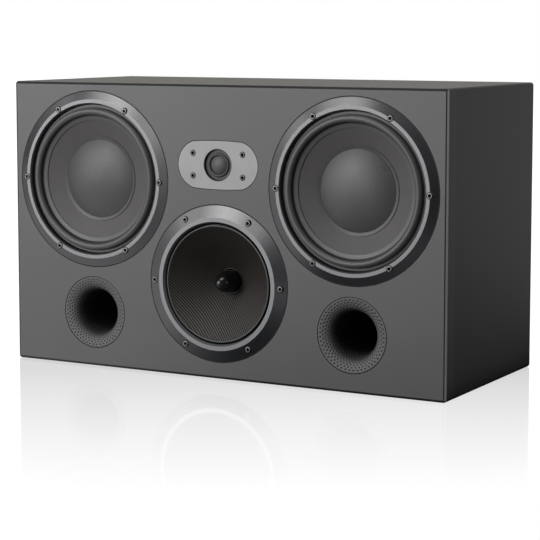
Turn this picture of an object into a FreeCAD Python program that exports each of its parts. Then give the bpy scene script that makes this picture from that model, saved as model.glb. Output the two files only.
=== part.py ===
import FreeCAD, Part
import os
import re
import Sketcher

# Three-way loudspeaker cabinet: two woofers, a midrange, a dome tweeter and two reflex ports
# Lengths in millimetres, angles in degrees; depth is measured back from the front face
SIZES = {
    # cabinet
    "cabinet_width": 678,
    "cabinet_height": 403,
    "cabinet_depth": 294,
    "panel_thickness": 18,
    "baffle_thickness": 25,
    "rear_thickness": 18,
    "corner_radius": 4.5,
    "front_edge_radius": 3.5,
    # window brace inside the cabinet
    "brace_port_gap": 15,
    "brace_thickness": 15,
    "brace_rim": 32,
    "brace_upright": 24,
    "brace_window_half": 88,
    "brace_window_radius": 20,
    # box behind the midrange
    "chamber_width": 200,
    "chamber_height": 196,
    "chamber_depth": 110,
    "chamber_wall": 12,
    # absorbent sheet on the rear panel
    "wadding_thickness": 25,
    "wadding_side_margin": 41,
    "wadding_top_margin": 20,
    "wadding_tray_gap": 30,
    # fits shared by the drivers and the ports
    "ring_gap": 0.9,
    "bore_clearance": 1.5,
    "glue_line": 0.3,
    "magnet_gap": 0.8,
    "flange_thickness": 6,
    "basket_wall": 5,
    "former_wall": 0.6,
    "winding_wall": 0.9,
    "spider_wall": 1,
    "spoke_count": 6,
    "window_margin": 3,
    # woofer
    "woofer_offset": 204,
    "woofer_height": 266.7,
    "woofer_ring_radius": 124,
    "woofer_crown_radius": 112.3,
    "woofer_crown_rise": 4.2,
    "woofer_lip_radius": 107.5,
    "woofer_ledge_radius": 104.5,
    "woofer_ledge_depth": 4.5,
    "woofer_basket_radius": 103,
    "woofer_basket_rear_radius": 68,
    "woofer_window_half_angle": 22,
    "woofer_spider_radius": 69,
    "woofer_spider_bore": 62,
    "woofer_spider_depth": 46,
    "woofer_cone_radius": 90.5,
    "woofer_cone_edge_depth": 4.2,
    "woofer_cone_slope": 0.385,
    "woofer_cone_wall": 1.2,
    "woofer_roll_outer": 101,
    "woofer_roll_inner": 90,
    "woofer_roll_rise": 3.6,
    "woofer_roll_bevel": 3,
    "woofer_surround_wall": 1,
    "woofer_surround_inner": 83.5,
    "woofer_cap_radius": 60,
    "woofer_cap_shoulder": 55.4,
    "woofer_cap_rise": 12,
    "woofer_cap_wall": 0.8,
    "woofer_cap_foot": 2,
    "woofer_coil_radius": 25,
    "woofer_winding_depth": 55,
    "woofer_coil_end": 75,
    "woofer_plate_depth": 62,
    "woofer_plate_radius": 72,
    "woofer_plate_thickness": 8,
    "woofer_magnet_radius": 75,
    "woofer_magnet_bore": 34,
    "woofer_magnet_thickness": 20,
    "woofer_yoke_radius": 72,
    "woofer_yoke_thickness": 9,
    "woofer_vent_radius": 8,
    # midrange
    "midrange_height": 131.6,
    "midrange_ring_radius": 108,
    "midrange_crown_radius": 91.4,
    "midrange_crown_rise": 6,
    "midrange_lip_radius": 85.5,
    "midrange_ledge_radius": 81,
    "midrange_ledge_depth": 4,
    "midrange_basket_radius": 80,
    "midrange_basket_rear_radius": 48,
    "midrange_window_half_angle": 20,
    "midrange_spider_radius": 47,
    "midrange_spider_bore": 42,
    "midrange_spider_depth": 42,
    "midrange_cone_radius": 79,
    "midrange_cone_edge_depth": -1.5,
    "midrange_cone_slope": 0.6,
    "midrange_cone_wall": 0.8,
    "midrange_edge_width": 3,
    "midrange_coil_radius": 17,
    "midrange_winding_depth": 47,
    "midrange_coil_end": 62,
    "midrange_plate_depth": 52,
    "midrange_plate_radius": 52,
    "midrange_plate_thickness": 6,
    "midrange_magnet_radius": 55,
    "midrange_magnet_bore": 26,
    "midrange_magnet_thickness": 15,
    "midrange_yoke_radius": 52,
    "midrange_yoke_thickness": 7,
    "midrange_vent_radius": 4,
    "midrange_plug_radius": 15.4,
    "midrange_plug_shoulder": 26,
    "midrange_plug_tip": 0.5,
    "midrange_nose_radius": 8,
    # tweeter
    "tweeter_land": 21.2,
    "faceplate_half_length": 62.4,
    "faceplate_half_height": 33,
    "faceplate_corner_across": 38.1,
    "faceplate_corner_up": 31.5,
    "faceplate_thickness": 4,
    "aperture_radius": 21.2,
    "aperture_chamfer": 1,
    "tweeter_dome_radius": 12.8,
    "tweeter_dome_rise": 4.6,
    "tweeter_dome_wall": 0.4,
    "tweeter_roll_radius": 16,
    "tweeter_roll_rise": 1.3,
    "tweeter_roll_bevel": 0.8,
    "tweeter_flange_radius": 23,
    "tweeter_flange_thickness": 0.5,
    "tweeter_coil_end": 9.5,
    "tweeter_gap": 0.6,
    "tweeter_motor_radius": 28,
    "tweeter_plate_thickness": 4,
    "tweeter_magnet_bore": 17,
    "tweeter_magnet_thickness": 9,
    "tweeter_yoke_thickness": 4,
    # reflex ports
    "port_offset": 204,
    "port_height": 77.2,
    "port_flange_radius": 50.4,
    "port_flange_thickness": 4,
    "port_shoulder_radius": 44,
    "port_throat_radius": 30.5,
    "port_flare_radius": 19,
    "port_wall": 3,
    "port_length": 145,
    # rear terminals
    "tray_height": 100,
    "tray_half_width": 56,
    "tray_half_height": 36,
    "tray_corner_radius": 8,
    "tray_flange": 9,
    "tray_flange_thickness": 3,
    "tray_depth": 30,
    "tray_wall": 3,
    "tray_fit": 0.5,
    "post_spacing": 38,
    "post_tail_radius": 3,
    "post_tail_length": 12,
    "post_tail_fit": 0.2,
    "post_collar_radius": 7.5,
    "post_collar_height": 3,
    "post_radius": 4,
    "post_length": 24,
    "plug_bore_radius": 2,
    "plug_bore_depth": 18,
    "knob_radius": 8.5,
    "knob_length": 15,
    "knob_clearance": 0.3,
    # crossover board on the rear panel beside the terminals
    "board_width": 170,
    "board_height": 78,
    "board_thickness": 1.6,
    "board_tray_gap": 25,
    "board_floor_gap": 20,
    "board_foot": 9,
    "board_foot_height": 8,
    "inductor_radius": 19,
    "inductor_bore": 9,
    "inductor_height": 17,
    "inductor_pitch": 54,
    "capacitor_width": 16,
    "capacitor_length": 28,
    "capacitor_height": 24,
    "capacitor_pitch": 36,
}

doc = FreeCAD.newDocument("loudspeaker")
sheet = doc.addObject("Spreadsheet::Sheet", "Dims")
for row, (alias, size) in enumerate(SIZES.items(), start=1):
    sheet.set(f"A{row}", alias.replace("_", " "))
    sheet.set(f"B{row}", str(size))
    sheet.setAlias(f"B{row}", alias)
doc.recompute()

NODES = []
# the tweeter's plate stands a land above the midrange's ring
TWEETER_UP = "(midrange_height + midrange_ring_radius + tweeter_land + faceplate_half_height)"


def bound(words):
    """Turn sheet words into an expression that names the sheet."""
    return re.sub(r"\b([a-z]+(?:_[a-z]+)+)\b", r"Dims.\1", words)


def value(words):
    """Work out sheet words as a number."""
    return float(sheet.evalExpression(words))


def place(item, across, back, up):
    """Stand an object's origin at sheet words; back counts from the front face."""
    item.setExpression("Placement.Base.x", bound(across))
    item.setExpression("Placement.Base.y", bound(f"{back} - cabinet_depth / 2"))
    item.setExpression("Placement.Base.z", bound(up))


def new_body(label, across="0", back="0", up="0", node=True):
    """Start a sub-part at a place in sheet words; one that only feeds another is no node."""
    body = doc.addObject("PartDesign::Body", label)
    body.Label = label
    body.AllowCompound = True
    place(body, across, back, up)
    if node:
        NODES.append(body)
    return body


def origin_feature(body, role):
    """Find one of a body's own origin planes or axes."""
    return next(feature for feature in body.Origin.OriginFeatures if feature.Role == role)


def new_sketch(body, role, lift="0", across="0"):
    """Attach an empty sketch to an origin plane, lifted along its normal and moved across it."""
    sketch = body.newObject("Sketcher::SketchObject", f"{body.Label}_sketch")
    sketch.AttachmentSupport = [(origin_feature(body, role), "")]
    sketch.MapMode = "FlatFace"
    sketch.setExpression("AttachmentOffset.Base.z", bound(lift))
    sketch.setExpression("AttachmentOffset.Base.x", bound(across))
    return sketch


def constrain(sketch, kind, places, words):
    """Add one dimension to a sketch and tie it to sheet words."""
    index = sketch.addConstraint(Sketcher.Constraint(kind, *places, value(words)))
    sketch.setExpression(f"Constraints[{index}]", bound(words))


def arc_between(start, end, radius, turn):
    """Short arc from start to end; turn 1 keeps its centre on the left of the way, -1 on the right."""
    chord = end - start
    to_centre = FreeCAD.Vector(-chord.y, chord.x, 0).normalize() * turn
    reach = max(radius**2 - chord.Length**2 / 4, 0) ** 0.5
    centre = (start + end) / 2 + to_centre * reach
    return Part.Arc(start, centre - to_centre * radius, end)


def draw_outline(sketch, points):
    """Close an outline through points given in sheet words.

    A point is (x, y), or (x, y, radius, turn) where an arc leads on to the next point.
    """
    corners = [FreeCAD.Vector(value(point[0]), value(point[1]), 0) for point in points]
    first = sketch.GeometryCount
    ends = []
    for number, point in enumerate(points):
        start = corners[number]
        end = corners[(number + 1) % len(points)]
        if len(point) == 2:
            index = sketch.addGeometry(Part.LineSegment(start, end))
            ends.append((1, 2))
        else:
            index = sketch.addGeometry(arc_between(start, end, value(point[2]), point[3]))
            ends.append((1, 2) if point[3] > 0 else (2, 1))
            constrain(sketch, "Radius", (index,), point[2])
    for number, point in enumerate(points):
        following = (number + 1) % len(points)
        meeting = (first + number, ends[number][1], first + following, ends[following][0])
        sketch.addConstraint(Sketcher.Constraint("Coincident", *meeting))
        constrain(sketch, "DistanceX", (-1, 1, first + number, ends[number][0]), point[0])
        constrain(sketch, "DistanceY", (-1, 1, first + number, ends[number][0]), point[1])


def draw_circle(sketch, across, up, radius):
    """Add a circle whose centre and radius are sheet words."""
    centre = FreeCAD.Vector(value(across), value(up), 0)
    index = sketch.addGeometry(Part.Circle(centre, FreeCAD.Vector(0, 0, 1), value(radius)))
    constrain(sketch, "DistanceX", (-1, 1, index, 3), across)
    constrain(sketch, "DistanceY", (-1, 1, index, 3), up)
    constrain(sketch, "Radius", (index,), radius)


def draw_rectangle(sketch, left, bottom, right, top, radius=None):
    """Add a rectangle, with rounded corners where a radius is given."""
    if radius is None:
        draw_outline(sketch, [(left, bottom), (right, bottom), (right, top), (left, top)])
        return
    draw_outline(
        sketch,
        [
            (f"{left} + {radius}", bottom),
            (f"{right} - {radius}", bottom, radius, 1),
            (right, f"{bottom} + {radius}"),
            (right, f"{top} - {radius}", radius, 1),
            (f"{right} - {radius}", top),
            (f"{left} + {radius}", top, radius, 1),
            (left, f"{top} - {radius}"),
            (left, f"{bottom} + {radius}", radius, 1),
        ],
    )


def pad(body, sketch, length, reverse=False):
    """Extrude a sketch by a length in sheet words."""
    feature = body.newObject("PartDesign::Pad", f"{body.Label}_pad")
    feature.Profile = sketch
    feature.setExpression("Length", bound(length))
    feature.Reversed = reverse
    doc.recompute()
    return feature


def pocket(body, sketch, depth=None, reverse=False):
    """Cut a sketch to a depth in sheet words, or right through."""
    feature = body.newObject("PartDesign::Pocket", f"{body.Label}_pocket")
    feature.Profile = sketch
    feature.Reversed = reverse
    if depth is None:
        feature.Type = "ThroughAll"
    else:
        feature.setExpression("Length", bound(depth))
    doc.recompute()
    return feature


def revolve(body, sketch):
    """Turn a sketch all the way round its own vertical axis."""
    feature = body.newObject("PartDesign::Revolution", f"{body.Label}_turned")
    feature.Profile = sketch
    feature.ReferenceAxis = (sketch, ["V_Axis"])
    feature.Angle = 360
    doc.recompute()
    return feature


def repeat_round(body, feature, count):
    """Repeat a feature evenly round the body's depth axis."""
    pattern = body.newObject("PartDesign::PolarPattern", f"{body.Label}_ring")
    pattern.Originals = [feature]
    pattern.Axis = (origin_feature(body, "Y_Axis"), [""])
    pattern.Angle = 360
    pattern.setExpression("Occurrences", bound(count))
    body.Tip = pattern
    doc.recompute()


def repeat_across(body, feature, count, pitch):
    """Repeat a feature along the body's width at a pitch in sheet words."""
    pattern = body.newObject("PartDesign::LinearPattern", f"{body.Label}_row")
    pattern.Originals = [feature]
    pattern.Direction = (origin_feature(body, "X_Axis"), [""])
    pattern.Occurrences = count
    pattern.setExpression("Length", bound(f"({count} - 1) * {pitch}"))
    body.Tip = pattern
    doc.recompute()


def turned(label, points, across="0", back="0", up="0", node=True):
    """Make a sub-part turned about its depth axis from (radius, depth) points."""
    body = new_body(label, across, back, up, node)
    sketch = new_sketch(body, "XY_Plane")
    draw_outline(sketch, points)
    revolve(body, sketch)
    return body


def turned_pair(label, points, offset, up):
    """Make a left and a right copy of a turned piece, mirrored about the cabinet's middle."""
    body = new_body(label, up=up)
    sketch = new_sketch(body, "XY_Plane", across=offset)
    draw_outline(sketch, points)
    feature = revolve(body, sketch)
    mirror = body.newObject("PartDesign::Mirrored", f"{label}_mirrored")
    mirror.Originals = [feature]
    mirror.MirrorPlane = (origin_feature(body, "YZ_Plane"), [""])
    body.Tip = mirror
    doc.recompute()
    return body


def combine(label, kind, base, tool):
    """Join, cut or intersect two shapes."""
    result = doc.addObject(f"Part::{kind}", label)
    result.Label = label
    result.Base = base
    result.Tool = tool
    doc.recompute()
    return result


def dome_shell(label, radius, rise, wall, base, across, up):
    """Make a thin round cap: a ball trimmed by a rod, less a smaller ball on the same centre."""
    sphere = arc_radius(radius, rise)
    balls = []
    for name, size in (("outside", sphere), ("inside", f"{sphere} - {wall}")):
        ball = doc.addObject("Part::Sphere", f"{label}_{name}")
        ball.setExpression("Radius", bound(size))
        place(ball, across, f"{base} - {rise} + {sphere}", up)
        balls.append(ball)
    rod = doc.addObject("Part::Cylinder", f"{label}_rod")
    rod.Placement.Rotation = FreeCAD.Rotation(FreeCAD.Vector(1, 0, 0), 90)
    rod.setExpression("Radius", bound(radius))
    rod.setExpression("Height", bound(f"2 * {rise}"))
    place(rod, across, base, up)
    trimmed = combine(f"{label}_trimmed", "Common", balls[0], rod)
    return combine(label, "Cut", trimmed, balls[1])


def cone_depth(kind, radius):
    """Depth of a driver's cone face at a radius, in sheet words."""
    return f"({kind}_cone_edge_depth + ({kind}_cone_radius - ({radius})) * {kind}_cone_slope)"


def arc_radius(half_chord, rise):
    """Radius of the arc that rises over a chord, in sheet words."""
    return f"((({half_chord})^2 + ({rise})^2) / (2 * ({rise})))"


# cabinet


def make_front_baffle():
    """Front board with a stepped seat and a bore for each driver and port."""
    body = new_body("front_baffle")
    sketch = new_sketch(body, "XZ_Plane")
    half = "cabinet_width / 2"
    draw_rectangle(sketch, f"-{half}", "0", half, "cabinet_height", "corner_radius")
    board = pad(body, sketch, "baffle_thickness", reverse=True)

    edges = board.Shape.Edges
    front = [f"Edge{n}" for n, edge in enumerate(edges, start=1) if edge.BoundBox.YMax < 1e-6]
    fillet = body.newObject("PartDesign::Fillet", "front_edge_round")
    fillet.Base = (board, front)
    fillet.setExpression("Radius", bound("front_edge_radius"))
    doc.recompute()

    seats = new_sketch(body, "XZ_Plane")
    for side in ("-", ""):
        draw_circle(seats, f"{side}woofer_offset", "woofer_height", "woofer_ring_radius + ring_gap")
    draw_circle(seats, "0", "midrange_height", "midrange_ring_radius + ring_gap")
    pocket(body, seats, "flange_thickness")

    port_seats = new_sketch(body, "XZ_Plane")
    for side in ("-", ""):
        draw_circle(port_seats, f"{side}port_offset", "port_height", "port_flange_radius + ring_gap")
    pocket(body, port_seats, "port_flange_thickness")

    tweeter_seat = new_sketch(body, "XZ_Plane")
    draw_faceplate_outline(tweeter_seat, "ring_gap", TWEETER_UP)
    pocket(body, tweeter_seat, "faceplate_thickness")

    bores = new_sketch(body, "XZ_Plane")
    for side in ("-", ""):
        draw_circle(bores, f"{side}woofer_offset", "woofer_height", "woofer_basket_radius + bore_clearance")
        draw_circle(bores, f"{side}port_offset", "port_height", "port_shoulder_radius + bore_clearance")
    draw_circle(bores, "0", "midrange_height", "midrange_basket_radius + bore_clearance")
    draw_circle(bores, "0", TWEETER_UP, "tweeter_motor_radius + bore_clearance")
    pocket(body, bores)


def draw_faceplate_outline(sketch, margin, up):
    """Draw the tweeter plate's four bowed sides, set out by a margin, centred at a height."""
    length = f"(faceplate_half_length + {margin})"
    height = f"(faceplate_half_height + {margin})"
    across = f"(faceplate_corner_across + {margin})"
    corner = f"(faceplate_corner_up + {margin})"
    side_bow = arc_radius(across, f"{height} - {corner}")
    end_bow = arc_radius(corner, f"{length} - {across}")
    draw_outline(
        sketch,
        [
            (f"-{across}", f"{up} - {corner}", side_bow, 1),
            (across, f"{up} - {corner}", end_bow, 1),
            (across, f"{up} + {corner}", side_bow, 1),
            (f"-{across}", f"{up} + {corner}", end_bow, 1),
        ],
    )


def make_wrap_panels():
    """Top, bottom and side panels, mitred to each other behind the baffle, with rounded corners."""
    half = "cabinet_width / 2"
    inner = "(cabinet_width / 2 - panel_thickness)"
    roof = "(cabinet_height - panel_thickness)"
    tuck = "corner_radius * (1 - sqrt(2) / 2)"
    outlines = {
        "bottom_panel": [
            (f"-{half} + {tuck}", tuck, "corner_radius", 1),
            (f"-{half} + corner_radius", "0"),
            (f"{half} - corner_radius", "0", "corner_radius", 1),
            (f"{half} - {tuck}", tuck),
            (inner, "panel_thickness"),
            (f"-{inner}", "panel_thickness"),
        ],
        "right_side_panel": [
            (f"{half} - {tuck}", tuck, "corner_radius", 1),
            (half, "corner_radius"),
            (half, "cabinet_height - corner_radius", "corner_radius", 1),
            (f"{half} - {tuck}", f"cabinet_height - {tuck}"),
            (inner, roof),
            (inner, "panel_thickness"),
        ],
        "top_panel": [
            (f"{half} - {tuck}", f"cabinet_height - {tuck}", "corner_radius", 1),
            (f"{half} - corner_radius", "cabinet_height"),
            (f"-{half} + corner_radius", "cabinet_height", "corner_radius", 1),
            (f"-{half} + {tuck}", f"cabinet_height - {tuck}"),
            (f"-{inner}", roof),
            (inner, roof),
        ],
        "left_side_panel": [
            (f"-{half} + {tuck}", f"cabinet_height - {tuck}", "corner_radius", 1),
            (f"-{half}", "cabinet_height - corner_radius"),
            (f"-{half}", "corner_radius", "corner_radius", 1),
            (f"-{half} + {tuck}", tuck),
            (f"-{inner}", "panel_thickness"),
            (f"-{inner}", roof),
        ],
    }
    for label, points in outlines.items():
        body = new_body(label, back="baffle_thickness")
        sketch = new_sketch(body, "XZ_Plane")
        draw_outline(sketch, points)
        pad(body, sketch, "cabinet_depth - baffle_thickness", reverse=True)


def inner_rectangle(sketch, margin="0"):
    """Draw the cabinet's inner width and height, drawn in by a margin."""
    side = f"(cabinet_width / 2 - panel_thickness - {margin})"
    draw_rectangle(
        sketch,
        f"-{side}",
        f"panel_thickness + {margin}",
        side,
        f"cabinet_height - panel_thickness - {margin}",
    )


def make_rear_panel():
    """Rear board set flush between the wrap panels, with the terminal tray's opening."""
    body = new_body("rear_panel", back="cabinet_depth - rear_thickness")
    sketch = new_sketch(body, "XZ_Plane")
    inner_rectangle(sketch)
    pad(body, sketch, "rear_thickness", reverse=True)
    opening = new_sketch(body, "XZ_Plane")
    wide = "(tray_half_width + tray_fit)"
    tall = "(tray_half_height + tray_fit)"
    draw_rectangle(
        opening,
        f"-{wide}",
        f"tray_height - {tall}",
        wide,
        f"tray_height + {tall}",
        "(tray_corner_radius + tray_fit)",
    )
    pocket(body, opening)


def make_window_brace():
    """Board across the inside with three rounded windows, which ties all four walls together."""
    body = new_body("window_brace", back="port_length + brace_port_gap")
    sketch = new_sketch(body, "XZ_Plane")
    inner_rectangle(sketch)
    pad(body, sketch, "brace_thickness", reverse=True)
    outer = "(cabinet_width / 2 - panel_thickness - brace_rim)"
    inner = "(brace_window_half + brace_upright)"
    bottom = "(panel_thickness + brace_rim)"
    top = "(cabinet_height - panel_thickness - brace_rim)"
    windows = new_sketch(body, "XZ_Plane")
    for left, right in (
        (f"-{outer}", f"-{inner}"),
        ("-brace_window_half", "brace_window_half"),
        (inner, outer),
    ):
        draw_rectangle(windows, left, bottom, right, top, "brace_window_radius")
    pocket(body, windows)


def make_midrange_chamber():
    """Box, open at the front, that shuts the midrange off from the rest of the cabinet."""
    body = new_body("midrange_chamber", back="baffle_thickness", up="midrange_height")
    wide = "chamber_width / 2"
    tall = "chamber_height / 2"
    sketch = new_sketch(body, "XZ_Plane")
    draw_rectangle(sketch, f"-{wide}", f"-{tall}", wide, tall)
    pad(body, sketch, "chamber_depth", reverse=True)
    hollow = new_sketch(body, "XZ_Plane")
    wide = "(chamber_width / 2 - chamber_wall)"
    tall = "(chamber_height / 2 - chamber_wall)"
    draw_rectangle(hollow, f"-{wide}", f"-{tall}", wide, tall)
    pocket(body, hollow, "chamber_depth - chamber_wall")


def make_wadding():
    """Absorbent sheet glued to the inside of the rear panel above the terminals."""
    body = new_body("rear_wadding", back="cabinet_depth - rear_thickness")
    side = "(cabinet_width / 2 - panel_thickness - wadding_side_margin)"
    bottom = "tray_height + tray_half_height + tray_flange + wadding_tray_gap"
    top = "cabinet_height - panel_thickness - wadding_top_margin"
    sketch = new_sketch(body, "XZ_Plane")
    draw_rectangle(sketch, f"-{side}", bottom, side, top)
    pad(body, sketch, "wadding_thickness")


# cone drivers


def make_chassis(label, kind, across, up):
    """Cast chassis: bevelled front ring, seat for the edge, spoked basket and rear seat."""
    inner_edge = f"({kind}_basket_radius - basket_wall)"
    body = turned(
        label,
        [
            (f"{kind}_ring_radius", "0"),
            (f"{kind}_ring_radius", "flange_thickness"),
            (f"{kind}_basket_radius", "flange_thickness"),
            (f"{kind}_basket_rear_radius", f"{kind}_plate_depth"),
            (f"{kind}_spider_bore", f"{kind}_plate_depth"),
            (f"{kind}_spider_bore", f"{kind}_spider_depth"),
            (f"{kind}_spider_radius", f"{kind}_spider_depth"),
            (inner_edge, f"{kind}_ledge_depth"),
            (f"{kind}_ledge_radius", f"{kind}_ledge_depth"),
            (f"{kind}_lip_radius", f"-{kind}_crown_rise"),
            (f"{kind}_crown_radius", f"-{kind}_crown_rise"),
        ],
        across,
        "0",
        up,
    )
    inner = f"({kind}_spider_radius + window_margin)"
    outer = f"({inner_edge} - window_margin)"
    begin = f"(180 / spoke_count - {kind}_window_half_angle)"
    finish = f"(180 / spoke_count + {kind}_window_half_angle)"
    window = new_sketch(body, "XZ_Plane")
    draw_outline(
        window,
        [
            (f"{inner} * cos({begin})", f"{inner} * sin({begin})"),
            (f"{outer} * cos({begin})", f"{outer} * sin({begin})", outer, 1),
            (f"{outer} * cos({finish})", f"{outer} * sin({finish})"),
            (f"{inner} * cos({finish})", f"{inner} * sin({finish})", inner, -1),
        ],
    )
    repeat_round(body, pocket(body, window), "spoke_count")


def make_cone(label, kind, across, up):
    """Straight-sided diaphragm from the coil former out to the edge."""
    neck = f"({kind}_coil_radius + former_wall + glue_line)"
    depth = cone_depth(kind, neck)
    turned(
        label,
        [
            (neck, depth),
            (neck, f"{depth} + {kind}_cone_wall"),
            (f"{kind}_cone_radius", f"{kind}_cone_edge_depth + {kind}_cone_wall"),
            (f"{kind}_cone_radius", f"{kind}_cone_edge_depth"),
        ],
        across,
        "0",
        up,
    )


def make_voice_coil(label, kind, across, up):
    """Coil former, glued in the cone's neck, with the winding at its rear end."""
    former = f"({kind}_coil_radius + former_wall)"
    winding = f"({former} + winding_wall)"
    front = cone_depth(kind, f"{former} + glue_line")
    turned(
        label,
        [
            (f"{kind}_coil_radius", front),
            (f"{kind}_coil_radius", f"{kind}_coil_end"),
            (winding, f"{kind}_coil_end"),
            (winding, f"{kind}_winding_depth"),
            (former, f"{kind}_winding_depth"),
            (former, front),
        ],
        across,
        "0",
        up,
    )


def spider_points(kind):
    """Flat ring that centres the coil former, seated on the basket's inner ledge."""
    inner = f"({kind}_coil_radius + former_wall + glue_line)"
    outer = f"({kind}_spider_radius - glue_line)"
    front = f"({kind}_spider_depth - spider_wall)"
    rear = f"{kind}_spider_depth"
    return [(inner, front), (inner, rear), (outer, rear), (outer, front)]


def top_plate_points(kind):
    """Front pole plate, with the magnetic gap round the winding."""
    inner = f"({kind}_coil_radius + former_wall + winding_wall + magnet_gap)"
    rear = f"({kind}_plate_depth + {kind}_plate_thickness)"
    outer = f"{kind}_plate_radius"
    front = f"{kind}_plate_depth"
    return [(inner, front), (inner, rear), (outer, rear), (outer, front)]


def magnet_points(kind):
    """Ferrite ring between the front plate and the yoke."""
    front = f"({kind}_plate_depth + {kind}_plate_thickness)"
    rear = f"({front} + {kind}_magnet_thickness)"
    inner = f"{kind}_magnet_bore"
    outer = f"{kind}_magnet_radius"
    return [(inner, front), (inner, rear), (outer, rear), (outer, front)]


def yoke_points(kind):
    """Vented centre pole and rear plate in one turning."""
    pole = f"({kind}_coil_radius - magnet_gap)"
    front = f"({kind}_plate_depth + {kind}_plate_thickness + {kind}_magnet_thickness)"
    rear = f"({front} + {kind}_yoke_thickness)"
    return [
        (f"{kind}_vent_radius", f"{kind}_plate_depth"),
        (f"{kind}_vent_radius", rear),
        (f"{kind}_yoke_radius", rear),
        (f"{kind}_yoke_radius", front),
        (pole, front),
        (pole, f"{kind}_plate_depth"),
    ]


def make_woofer_surround(label, across, up):
    """Rubber half-roll between the chassis ledge and the cone's front face."""
    top = "(woofer_ledge_depth - woofer_surround_wall)"
    glued = f"({cone_depth('woofer', 'woofer_surround_inner')} - glue_line)"
    crest = f"({top} - woofer_roll_rise)"
    turned(
        label,
        [
            ("woofer_ledge_radius - glue_line", "woofer_ledge_depth"),
            ("woofer_ledge_radius - glue_line", top),
            ("woofer_roll_outer", top),
            ("woofer_roll_outer - woofer_roll_bevel", crest),
            ("woofer_roll_inner + woofer_roll_bevel", crest),
            ("woofer_roll_inner", top),
            ("woofer_surround_inner", f"{glued} - woofer_surround_wall"),
            ("woofer_surround_inner", glued),
            ("woofer_cone_radius", "woofer_cone_edge_depth - glue_line"),
        ],
        across,
        "0",
        up,
    )


def make_dust_cap(label, across, up):
    """Wide convex cap on a glue lip that lies on the cone."""
    lip = f"({cone_depth('woofer', 'woofer_cap_radius')} - glue_line)"
    shoulder = f"({cone_depth('woofer', 'woofer_cap_shoulder')} - glue_line)"
    base = f"({shoulder} - woofer_cap_wall)"
    foot = "woofer_cap_shoulder - woofer_cap_foot"
    rim = turned(
        f"{label}_lip",
        [
            ("woofer_cap_radius", lip),
            ("woofer_cap_radius", f"{lip} - woofer_cap_wall"),
            ("woofer_cap_shoulder", base),
            (foot, base),
            (foot, shoulder),
            ("woofer_cap_shoulder", shoulder),
        ],
        across,
        "0",
        up,
        node=False,
    )
    sizes = ("woofer_cap_shoulder", "woofer_cap_rise", "woofer_cap_wall")
    dome = dome_shell(f"{label}_dome", *sizes, base, across, up)
    NODES.append(combine(label, "Fuse", rim, dome))


def make_woofers():
    """Two woofers side by side, with the hidden motor pieces made as mirrored pairs."""
    for side, across in (("left", "-woofer_offset"), ("right", "woofer_offset")):
        make_chassis(f"{side}_woofer_chassis", "woofer", across, "woofer_height")
        make_woofer_surround(f"{side}_woofer_surround", across, "woofer_height")
        make_cone(f"{side}_woofer_cone", "woofer", across, "woofer_height")
        make_dust_cap(f"{side}_woofer_dust_cap", across, "woofer_height")
        make_voice_coil(f"{side}_woofer_voice_coil", "woofer", across, "woofer_height")
    for label, points in (
        ("woofer_spiders", spider_points("woofer")),
        ("woofer_top_plates", top_plate_points("woofer")),
        ("woofer_magnets", magnet_points("woofer")),
        ("woofer_yokes", yoke_points("woofer")),
    ):
        turned_pair(label, points, "woofer_offset", "woofer_height")


def make_midrange():
    """Midrange with a foam edge instead of a roll and a fixed bullet plug in place of a cap."""
    place = ("0", "midrange_height")
    make_chassis("midrange_chassis", "midrange", *place)
    make_cone("midrange_cone", "midrange", *place)
    make_voice_coil("midrange_voice_coil", "midrange", *place)
    for label, points in (
        ("midrange_spider", spider_points("midrange")),
        ("midrange_top_plate", top_plate_points("midrange")),
        ("midrange_magnet", magnet_points("midrange")),
        ("midrange_yoke", yoke_points("midrange")),
    ):
        turned(label, points, up="midrange_height")

    edge = "(midrange_cone_radius - midrange_edge_width)"
    back = "+ midrange_cone_wall + glue_line"
    turned(
        "midrange_edge_ring",
        [
            (edge, f"{cone_depth('midrange', edge)} {back}"),
            (edge, "midrange_ledge_depth"),
            ("midrange_cone_radius", "midrange_ledge_depth"),
            ("midrange_cone_radius", f"midrange_cone_edge_depth {back}"),
        ],
        up="midrange_height",
    )

    centre = "(midrange_plug_tip + midrange_nose_radius)"
    rise = f"(midrange_plug_shoulder - {centre})"
    reach = f"sqrt(midrange_plug_radius^2 + {rise}^2)"
    lean = f"(atan({rise} / midrange_plug_radius) - acos(midrange_nose_radius / {reach}))"
    touch = f"midrange_nose_radius * cos({lean})"
    touch_depth = f"{centre} + midrange_nose_radius * sin({lean})"
    turned(
        "midrange_phase_plug",
        [
            ("0", "midrange_plate_depth"),
            ("midrange_plug_radius", "midrange_plate_depth"),
            ("midrange_plug_radius", "midrange_plug_shoulder"),
            (touch, touch_depth, "midrange_nose_radius", -1),
            ("0", "midrange_plug_tip"),
        ],
        up="midrange_height",
    )


# tweeter


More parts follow.
